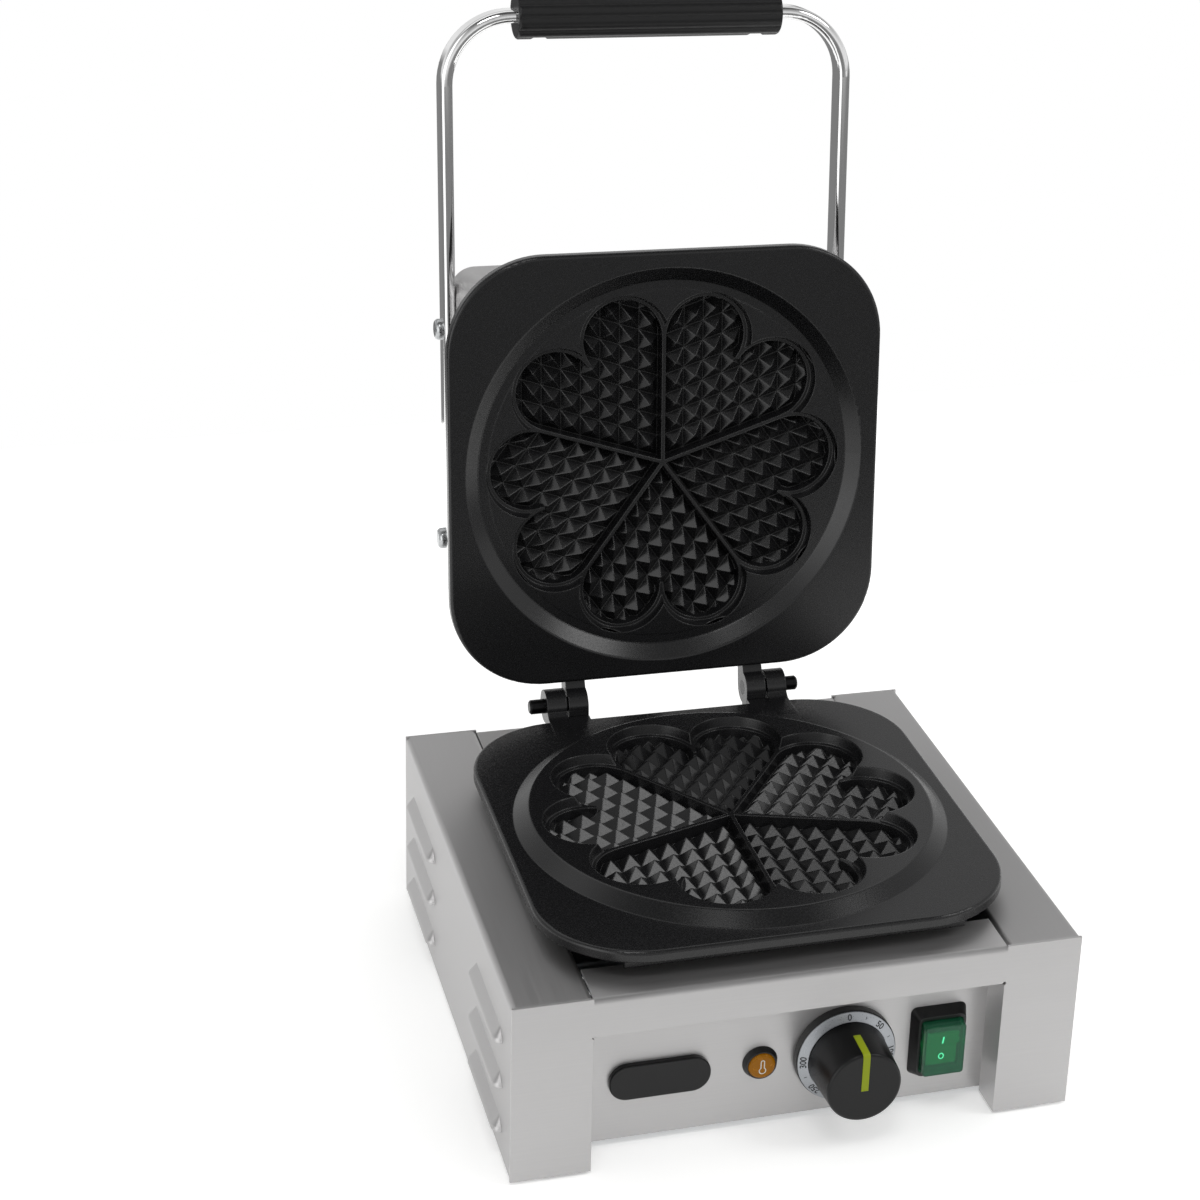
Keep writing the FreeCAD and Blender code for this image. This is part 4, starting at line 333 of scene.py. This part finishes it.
class WAFFLE_OT_controls(Operator):
    """Badge, lamp, dial and switch on the control panel"""

    bl_idname = "waffle.controls"
    bl_label = "Dress the controls"

    def execute(self, context):
        looks = context.scene.waffle_controls
        # ABS, moulded against a lightly sparked tool: black with a low even sheen
        plastic = finish("abs_moulded_satin", looks.plastic, scaled(looks.plastic, 1.7), even(0.7 * MM),
                         relief=0.006 * MM, roughness=(0.36, 0.5))
        dress(plastic, "dial_backing", "switch_body", "lamp_bezel")
        # ABS, moulded in a polished tool: a deeper black with a clear shine
        gloss = finish("abs_moulded_gloss", looks.plastic, scaled(looks.plastic, 1.4), even(2.0 * MM),
                       relief=0.001 * MM, roughness=(0.16, 0.24), IOR=1.38)
        dress(gloss, "badge_plate")
        # Phenolic knob, moulded and wiped: near-black, slightly warm, satin
        knob = finish("phenolic_knob_moulded", looks.knob, scaled(looks.knob, 1.5), even(0.8 * MM),
                      relief=0.006 * MM, roughness=(0.28, 0.4), IOR=1.36)
        dress(knob, "knob")
        # Pigmented ABS inlay, pressed in: flat yellow-green
        inlay = finish("abs_inlay_pigmented", scaled(looks.pointer, 0.9), looks.pointer, even(0.8 * MM),
                       relief=0.004 * MM, roughness=(0.4, 0.5), Specular_IOR_Level=0.25)
        dress(inlay, "knob_pointer")
        # Aluminium ring, turned and satin anodised: cool silver
        ring = finish("aluminium_ring_anodised", scaled(looks.ring, 0.85), looks.ring, even(0.6 * MM),
                      relief=0.002 * MM, roughness=(0.26, 0.38), metallic=1.0)
        dress(ring, "scale_ring")
        # Polycarbonate lens, dyed amber: clear at the edge and warm where the lamp stands behind
        lens = finish("polycarbonate_lens_amber", scaled(looks.amber, 0.7), looks.amber, even(3 * MM),
                      relief=0.01 * MM, roughness=(0.2, 0.3), Transmission_Weight=0.2,
                      Specular_IOR_Level=0.1, Emission_Strength=0.15, Emission_Color=opaque(looks.amber))
        dress(lens, "lamp_lens")
        # Plasticised vinyl boot, dipped: clear green and slightly wavy
        boot = finish("vinyl_boot_dipped", scaled(looks.boot, 0.9), looks.boot, even(4 * MM),
                      relief=0.003 * MM, roughness=(0.0, 0.03), Transmission_Weight=0.8, IOR=1.4,
                      Specular_IOR_Level=0.3)
        dress(boot, "switch_boot")
        # Dyed polycarbonate rocker, moulded: bright green; it also glows, a painted light standing in for
        # the lamp light that the clear boot keeps from it
        rocker = finish("polycarbonate_rocker_dyed", scaled(looks.rocker, 0.9), looks.rocker, even(2 * MM),
                        relief=0.003 * MM, roughness=(0.2, 0.3), Emission_Strength=0.45,
                        Emission_Color=opaque(looks.rocker))
        dress(rocker, "rocker")
        return {"FINISHED"}


class WAFFLE_OT_inside(Operator):
    """Electrical pieces inside the base, and the cable glands"""

    bl_idname = "waffle.inside"
    bl_label = "Dress the inside"

    def execute(self, context):
        # Polyamide, moulded: black, waxy
        black = finish("polyamide_gland_moulded", linear("#161617"), linear("#232324"), even(1.0 * MM),
                       relief=0.01 * MM, roughness=(0.42, 0.55))
        dress(black, "lid_lead_gland", "mains_gland", "base_lead_gland", "lamp_body")
        # Steatite, pressed and fired: off-white and faintly speckled
        ceramic = finish("steatite_pressed", linear("#D2CCBD"), linear("#E4DFD2"), even(1.4 * MM),
                         relief=0.01 * MM, roughness=(0.35, 0.5))
        dress(ceramic, "terminal_block", "thermostat_body", "thermal_cutout")
        # Copper tube, drawn: warm with a dull tarnish
        copper = finish("copper_tube_drawn", linear("#8A4F30"), linear("#B8764C"), even(6 * MM),
                        relief=0.002 * MM, roughness=(0.3, 0.5), metallic=1.0)
        dress(copper, "capillary_bulb")
        return {"FINISHED"}


def middle_of(name):
    """Middle of a node at rest."""
    low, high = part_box(name)
    return (low + high) / 2


def printed(name, node, body, points, faces, material):
    """Lays flat faces, given in X and Z, on a node's front as ink lies on it."""
    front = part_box(node)[0].y
    graph = bpy.context.evaluated_depsgraph_get()
    tree = BVHTree.FromObject(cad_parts[node], graph)
    lift = Vector((0, -INK_LIFT, 0))
    places = []
    for x, z in points:
        hit = tree.ray_cast(Vector((x, front - RAY_START, z)), Vector((0, 1, 0)))[0]
        if hit is None:
            raise RuntimeError(f"{name}: a point misses {node}")
        places.append(hit + lift)
    mesh = bpy.data.meshes.new(name)
    mesh.from_pydata(places, [], faces)
    mesh.materials.append(material)
    piece = bpy.data.objects.new(name, mesh)
    bpy.context.scene.collection.objects.link(piece)
    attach(piece, body)


def letter_shape(text, height):
    """Points and faces of upright figures of that height, about their middle."""
    curve = bpy.data.curves.new("figure", "FONT")
    curve.body = text
    curve.align_x = "CENTER"
    curve.resolution_u = 4
    # Printed figures are bolder than the plain face
    curve.offset = FIGURE_BOLDNESS
    holder = bpy.data.objects.new("figure", curve)
    mesh = bpy.data.meshes.new_from_object(holder)
    ys = [vertex.co.y for vertex in mesh.vertices]
    scale = height / (max(ys) - min(ys))
    middle = (max(ys) + min(ys)) / 2
    points = [(vertex.co.x * scale, (vertex.co.y - middle) * scale) for vertex in mesh.vertices]
    faces = [list(face.vertices) for face in mesh.polygons]
    bpy.data.objects.remove(holder)
    bpy.data.curves.remove(curve)
    bpy.data.meshes.remove(mesh)
    return points, faces


def stroke(across, up):
    """Corners of an upright stroke about its middle, from its half sizes."""
    return [(-across, -up), (across, -up), (across, up), (-across, up)]


def round_ring(middle, radius, angle, points):
    """Bends points about a ring: across runs round it and up runs outward, clockwise from the top."""
    placed = []
    for across, up in points:
        turn = angle + across / radius
        reach = radius + up
        placed.append((middle.x + reach * math.sin(turn), middle.z + reach * math.cos(turn)))
    return placed


class WAFFLE_OT_scale(Operator):
    """Figures and marks printed round the dial's scale ring"""

    bl_idname = "waffle.scale"
    bl_label = "Print the dial scale"

    def execute(self, context):
        looks = context.scene.waffle_controls
        middle = middle_of("scale_ring")
        radii = [math.hypot(v.co.x - middle.x, v.co.z - middle.z)
                 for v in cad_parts["scale_ring"].data.vertices]
        radius = (min(radii) + max(radii)) / 2
        # Screen ink, baked: flat black with a slightly ragged edge of tone
        ink = finish("ink_screen_printed", looks.ink, scaled(looks.ink, 1.5), even(0.5 * MM),
                     relief=0.002 * MM, roughness=(0.5, 0.6))
        points = []
        faces = []
        steps = len(FIGURES) - 1
        for index, text in enumerate(FIGURES):
            shape, sides = letter_shape(text, looks.numeral_height)
            start = len(points)
            points += round_ring(middle, radius, DIAL_TURN * index / steps, shape)
            faces += [[start + corner for corner in side] for side in sides]
        tick = stroke(TICK_HALF_WIDTH, looks.tick_length / 2)
        for index in range(steps):
            start = len(points)
            points += round_ring(middle, radius, DIAL_TURN * (index + 0.5) / steps, tick)
            faces.append(list(range(start, start + len(tick))))
        printed("dial_scale_marks", "scale_ring", "base", points, faces, ink)
        return {"FINISHED"}


def band(outer, inner):
    """Points and faces between two closed outlines of the same number of points."""
    count = len(outer)
    faces = []
    for index in range(count):
        after = (index + 1) % count
        faces.append([index, after, count + after, count + index])
    return list(outer) + list(inner), faces


def oval(middle, across, up):
    """Outline of an oval, from its half sizes."""
    turns = [2 * math.pi * index / OVAL_STEPS for index in range(OVAL_STEPS)]
    return [(middle.x + across * math.sin(turn), middle.z + up * math.cos(turn)) for turn in turns]


class WAFFLE_OT_switch_marks(Operator):
    """ON and OFF strokes on the rocker"""

    bl_idname = "waffle.switch_marks"
    bl_label = "Print the switch marks"

    def execute(self, context):
        looks = context.scene.waffle_controls
        middle = middle_of("rocker")
        # Pad-printed enamel: off-white; it glows strongly, a painted light standing in for the lamp light
        # that the clear boot keeps from it
        enamel = finish("enamel_pad_printed", scaled(looks.mark, 0.93), looks.mark, even(0.6 * MM),
                        relief=0.003 * MM, roughness=(0.4, 0.5), Emission_Strength=4.5,
                        Emission_Color=opaque(looks.mark))
        upper = middle + Vector((0, 0, ON_RISE))
        lower = middle - Vector((0, 0, OFF_DROP))
        points, faces = band(oval(lower, *OFF_OUTSIDE), oval(lower, *OFF_INSIDE))
        start = len(points)
        points += [(upper.x + across, upper.z + up) for across, up in stroke(*ON_STROKE)]
        faces.append(list(range(start, len(points))))
        printed("switch_marks", "rocker", "rocker", points, faces, enamel)
        return {"FINISHED"}


def thermometer(middle, grow):
    """Outline of a plain thermometer sign: a round bulb and a round-topped stem."""
    bulb = BULB_RADIUS + grow
    stem = STEM_RADIUS + grow
    bulb_z = middle.z - BULB_DROP
    top_z = middle.z + STEM_RISE
    opening = math.asin(stem / bulb)
    outline = []
    for index in range(BULB_STEPS + 1):
        turn = opening + (2 * math.pi - 2 * opening) * index / BULB_STEPS
        outline.append((middle.x + bulb * math.sin(turn), bulb_z + bulb * math.cos(turn)))
    for index in range(STEM_STEPS + 1):
        turn = -math.pi / 2 + math.pi * index / STEM_STEPS
        outline.append((middle.x + stem * math.sin(turn), top_z + stem * math.cos(turn)))
    return outline


class WAFFLE_OT_lamp_sign(Operator):
    """Thermometer sign on the lamp's lens"""

    bl_idname = "waffle.lamp_sign"
    bl_label = "Print the lamp sign"

    def execute(self, context):
        looks = context.scene.waffle_controls
        middle = middle_of("lamp_lens")
        # Pad-printed enamel, thin enough that the lamp warms it
        enamel = finish("enamel_thin_pad_printed", scaled(looks.mark, 0.9), looks.mark, even(0.6 * MM),
                        relief=0.003 * MM, roughness=(0.35, 0.45))
        points, faces = band(thermometer(middle, SIGN_HALF_LINE), thermometer(middle, -SIGN_HALF_LINE))
        printed("lamp_sign", "lamp_lens", "base", points, faces, enamel)
        return {"FINISHED"}


def add_lamp(name, place, size, power):
    """Round soft lamp that looks at the object."""
    data = bpy.data.lights.new(name, "AREA")
    data.shape = "DISK"
    data.size = size
    data.energy = power
    lamp = bpy.data.objects.new(name, data)
    lamp.location = place
    lamp.rotation_euler = (Vector(LAMP_AIM) - Vector(place)).to_track_quat("-Z", "Y").to_euler()
    bpy.context.scene.collection.objects.link(lamp)


def seen_white(tree, path):
    """1 for rays from the camera and from mirrors and glass, else 0."""
    mirrored = add_node(tree, "ShaderNodeMath", {0: path.outputs["Is Camera Ray"],
                                                 1: path.outputs["Is Glossy Ray"]}, operation="ADD")
    return add_node(tree, "ShaderNodeMath", {0: mirrored.outputs[0],
                                             1: path.outputs["Is Transmission Ray"]},
                    operation="ADD", use_clamp=True)


class WAFFLE_OT_stage(Operator):
    """Pale floor, soft studio light and the camera"""

    bl_idname = "waffle.stage"
    bl_label = "Set the stage"

    def execute(self, context):
        looks = context.scene.waffle_stage
        context.scene.view_settings.view_transform = "Standard"
        self.light_room(context.scene, looks)
        self.lay_floor(looks)
        for name, place, size, power in LAMPS:
            add_lamp(name, place, size, getattr(looks, power))
        self.place_camera(context.scene)
        return {"FINISHED"}

    def light_room(self, scene, looks):
        """World that the camera sees white, and that metal, glass and matt surfaces see as a room."""
        world = bpy.data.worlds.new("studio")
        scene.world = world
        world.use_nodes = True
        tree = world.node_tree
        tree.nodes.clear()
        path = add_node(tree, "ShaderNodeLightPath", {})
        seen = seen_white(tree, path)
        place = add_node(tree, "ShaderNodeTexCoord", {})
        parts = add_node(tree, "ShaderNodeSeparateXYZ", {0: place.outputs["Generated"]})
        x, y, z = parts.outputs
        # The room is white at table height and dim above and below, which metal shows
        above = add_node(tree, "ShaderNodeMapRange", {"Value": z, **span(0.08, 0.5, 0.9, 0.46)})
        below = add_node(tree, "ShaderNodeMapRange", {"Value": z, **span(-0.1, 0.0, 0.26, 1.0)})
        top = add_node(tree, "ShaderNodeMapRange", {"Value": z, **span(0.6, 0.95, 1.0, 0.15)})
        room = add_node(tree, "ShaderNodeMath", {0: above.outputs[0], 1: below.outputs[0]},
                        operation="MULTIPLY")
        dim = add_node(tree, "ShaderNodeMath", {0: room.outputs[0], 1: top.outputs[0]},
                       operation="MULTIPLY")
        # A pale screen stands high behind, which the ledges show past the open lid
        high = add_node(tree, "ShaderNodeMapRange", {"Value": z, **span(0.58, 0.75, 0.0, looks.screen)})
        behind = add_node(tree, "ShaderNodeMapRange", {"Value": y, **span(0.1, 0.45, 0.0, 1.0)})
        screen = add_node(tree, "ShaderNodeMath", {0: high.outputs[0], 1: behind.outputs[0]},
                          operation="MULTIPLY")
        # Another stands low at the front left, which the open plate's studs show
        left = add_node(tree, "ShaderNodeMapRange", {"Value": x, **span(-0.5, -0.72, 0.0,
                                                                        looks.left_screen)})
        before = add_node(tree, "ShaderNodeMapRange", {"Value": y, **span(-0.12, -0.32, 0.0, 1.0)})
        side = add_node(tree, "ShaderNodeMath", {0: left.outputs[0], 1: before.outputs[0]},
                        operation="MULTIPLY")
        both = add_node(tree, "ShaderNodeMath", {0: screen.outputs[0], 1: side.outputs[0]}, operation="ADD")
        lit = add_node(tree, "ShaderNodeMath", {0: dim.outputs[0], 1: both.outputs[0]}, operation="ADD")
        level = add_node(tree, "ShaderNodeMath", {0: lit.outputs[0], 1: path.outputs["Is Camera Ray"]},
                         operation="MAXIMUM")
        # Light that falls on matt surfaces comes more from above than from the sides
        fall = add_node(tree, "ShaderNodeMapRange", {"Value": z, **span(-0.1, 0.9, 0.2 * looks.sky,
                                                                        1.3 * looks.sky)})
        sky = add_node(tree, "ShaderNodeBackground", {"Color": WHITE, "Strength": fall.outputs[0]})
        white = add_node(tree, "ShaderNodeBackground", {"Color": WHITE, "Strength": level.outputs[0]})
        mixed = add_node(tree, "ShaderNodeMixShader", {0: seen.outputs[0], 1: sky.outputs[0],
                                                       2: white.outputs[0]})
        add_node(tree, "ShaderNodeOutputWorld", {"Surface": mixed.outputs[0]})

    def lay_floor(self, looks):
        """White floor that fades into the white around it."""
        mesh = bpy.data.meshes.new("studio_floor")
        corners = [(-FLOOR_HALF, FLOOR_NEAR, 0), (FLOOR_HALF, FLOOR_NEAR, 0),
                   (FLOOR_HALF, FLOOR_HALF, 0), (-FLOOR_HALF, FLOOR_HALF, 0)]
        mesh.from_pydata(corners, [], [(0, 1, 2, 3)])
        floor = bpy.data.objects.new("studio_floor", mesh)
        bpy.context.scene.collection.objects.link(floor)
        # Paper sweep: matt white; it gives off a little so that its far part meets the white around it
        paper = finish("paper_sweep_matt", scaled(looks.floor, 0.99), looks.floor, even(3 * MM),
                       relief=0.0, roughness=(0.9, 1.0))
        tree = paper.node_tree
        shader = tree.nodes["Principled BSDF"]
        path = add_node(tree, "ShaderNodeLightPath", {})
        seen = seen_white(tree, path)
        place = add_node(tree, "ShaderNodeTexCoord", {})
        far = add_node(tree, "ShaderNodeVectorMath", {0: place.outputs["Object"]}, operation="LENGTH")
        lift = add_node(tree, "ShaderNodeMapRange", {"Value": far.outputs["Value"],
                                                     **span(0.15, 0.6, 0.36, 0.6)})
        glow = add_node(tree, "ShaderNodeMath", {0: seen.outputs[0], 1: lift.outputs[0]},
                        operation="MULTIPLY")
        shader.inputs["Emission Color"].default_value = WHITE
        tree.links.new(glow.outputs[0], shader.inputs["Emission Strength"])
        mesh.materials.append(paper)

    def place_camera(self, scene):
        """Camera at the photograph's viewing angle."""
        azimuth, elevation, roll = [math.radians(value) for value in CAMERA_ANGLES]
        back = Vector((math.sin(azimuth) * math.cos(elevation), -math.cos(azimuth) * math.cos(elevation),
                       math.sin(elevation)))
        right = (-back).cross(Vector((0, 0, 1))).normalized()
        up = right.cross(-back)
        turned_right = right * math.cos(roll) + up * math.sin(roll)
        turned_up = up * math.cos(roll) - right * math.sin(roll)
        data = bpy.data.cameras.new("photo_camera")
        data.sensor_width = CAMERA_SENSOR
        data.lens = CAMERA_LENS
        data.shift_x, data.shift_y = CAMERA_SHIFT
        camera = bpy.data.objects.new("photo_camera", data)
        turn = Matrix((turned_right, turned_up, back)).transposed()
        camera.matrix_world = Matrix.Translation(CAMERA_PLACE) @ turn.to_4x4()
        scene.collection.objects.link(camera)
        scene.camera = camera


OPERATORS = (
    WAFFLE_OT_housing,
    WAFFLE_OT_fasteners,
    WAFFLE_OT_plates,
    WAFFLE_OT_handle,
    WAFFLE_OT_controls,
    WAFFLE_OT_inside,
    WAFFLE_OT_scale,
    WAFFLE_OT_switch_marks,
    WAFFLE_OT_lamp_sign,
    WAFFLE_OT_stage,
)

GROUPS = {
    "waffle_housing": HousingLooks,
    "waffle_plates": PlateLooks,
    "waffle_controls": ControlLooks,
    "waffle_stage": StageLooks,
}


class WAFFLE_PT_looks(Panel):
    """Lists the steps that dress the waffle maker, with their sizes and colours"""

    bl_idname = "WAFFLE_PT_looks"
    bl_label = "Waffle maker"
    bl_space_type = "VIEW_3D"
    bl_region_type = "UI"
    bl_category = "Waffle maker"

    def draw(self, context):
        for step in OPERATORS:
            self.layout.operator(step.bl_idname)
        for group in GROUPS:
            box = self.layout.box()
            looks = getattr(context.scene, group)
            for name in looks.__annotations__:
                box.prop(looks, name)


CLASSES = (*GROUPS.values(), *OPERATORS, WAFFLE_PT_looks)


def register():
    """Makes the classes known and hangs the properties on the scene."""
    for cls in CLASSES:
        bpy.utils.register_class(cls)
    for name, group in GROUPS.items():
        setattr(bpy.types.Scene, name, PointerProperty(type=group))


def unregister():
    """Takes the properties and classes away again."""
    for name in GROUPS:
        delattr(bpy.types.Scene, name)
    for cls in reversed(CLASSES):
        bpy.utils.unregister_class(cls)


def main():
    """Runs each step in order."""
    register()
    for step in OPERATORS:
        family, action = step.bl_idname.split(".")
        getattr(getattr(bpy.ops, family), action)()


if __name__ == "__main__":
    main()
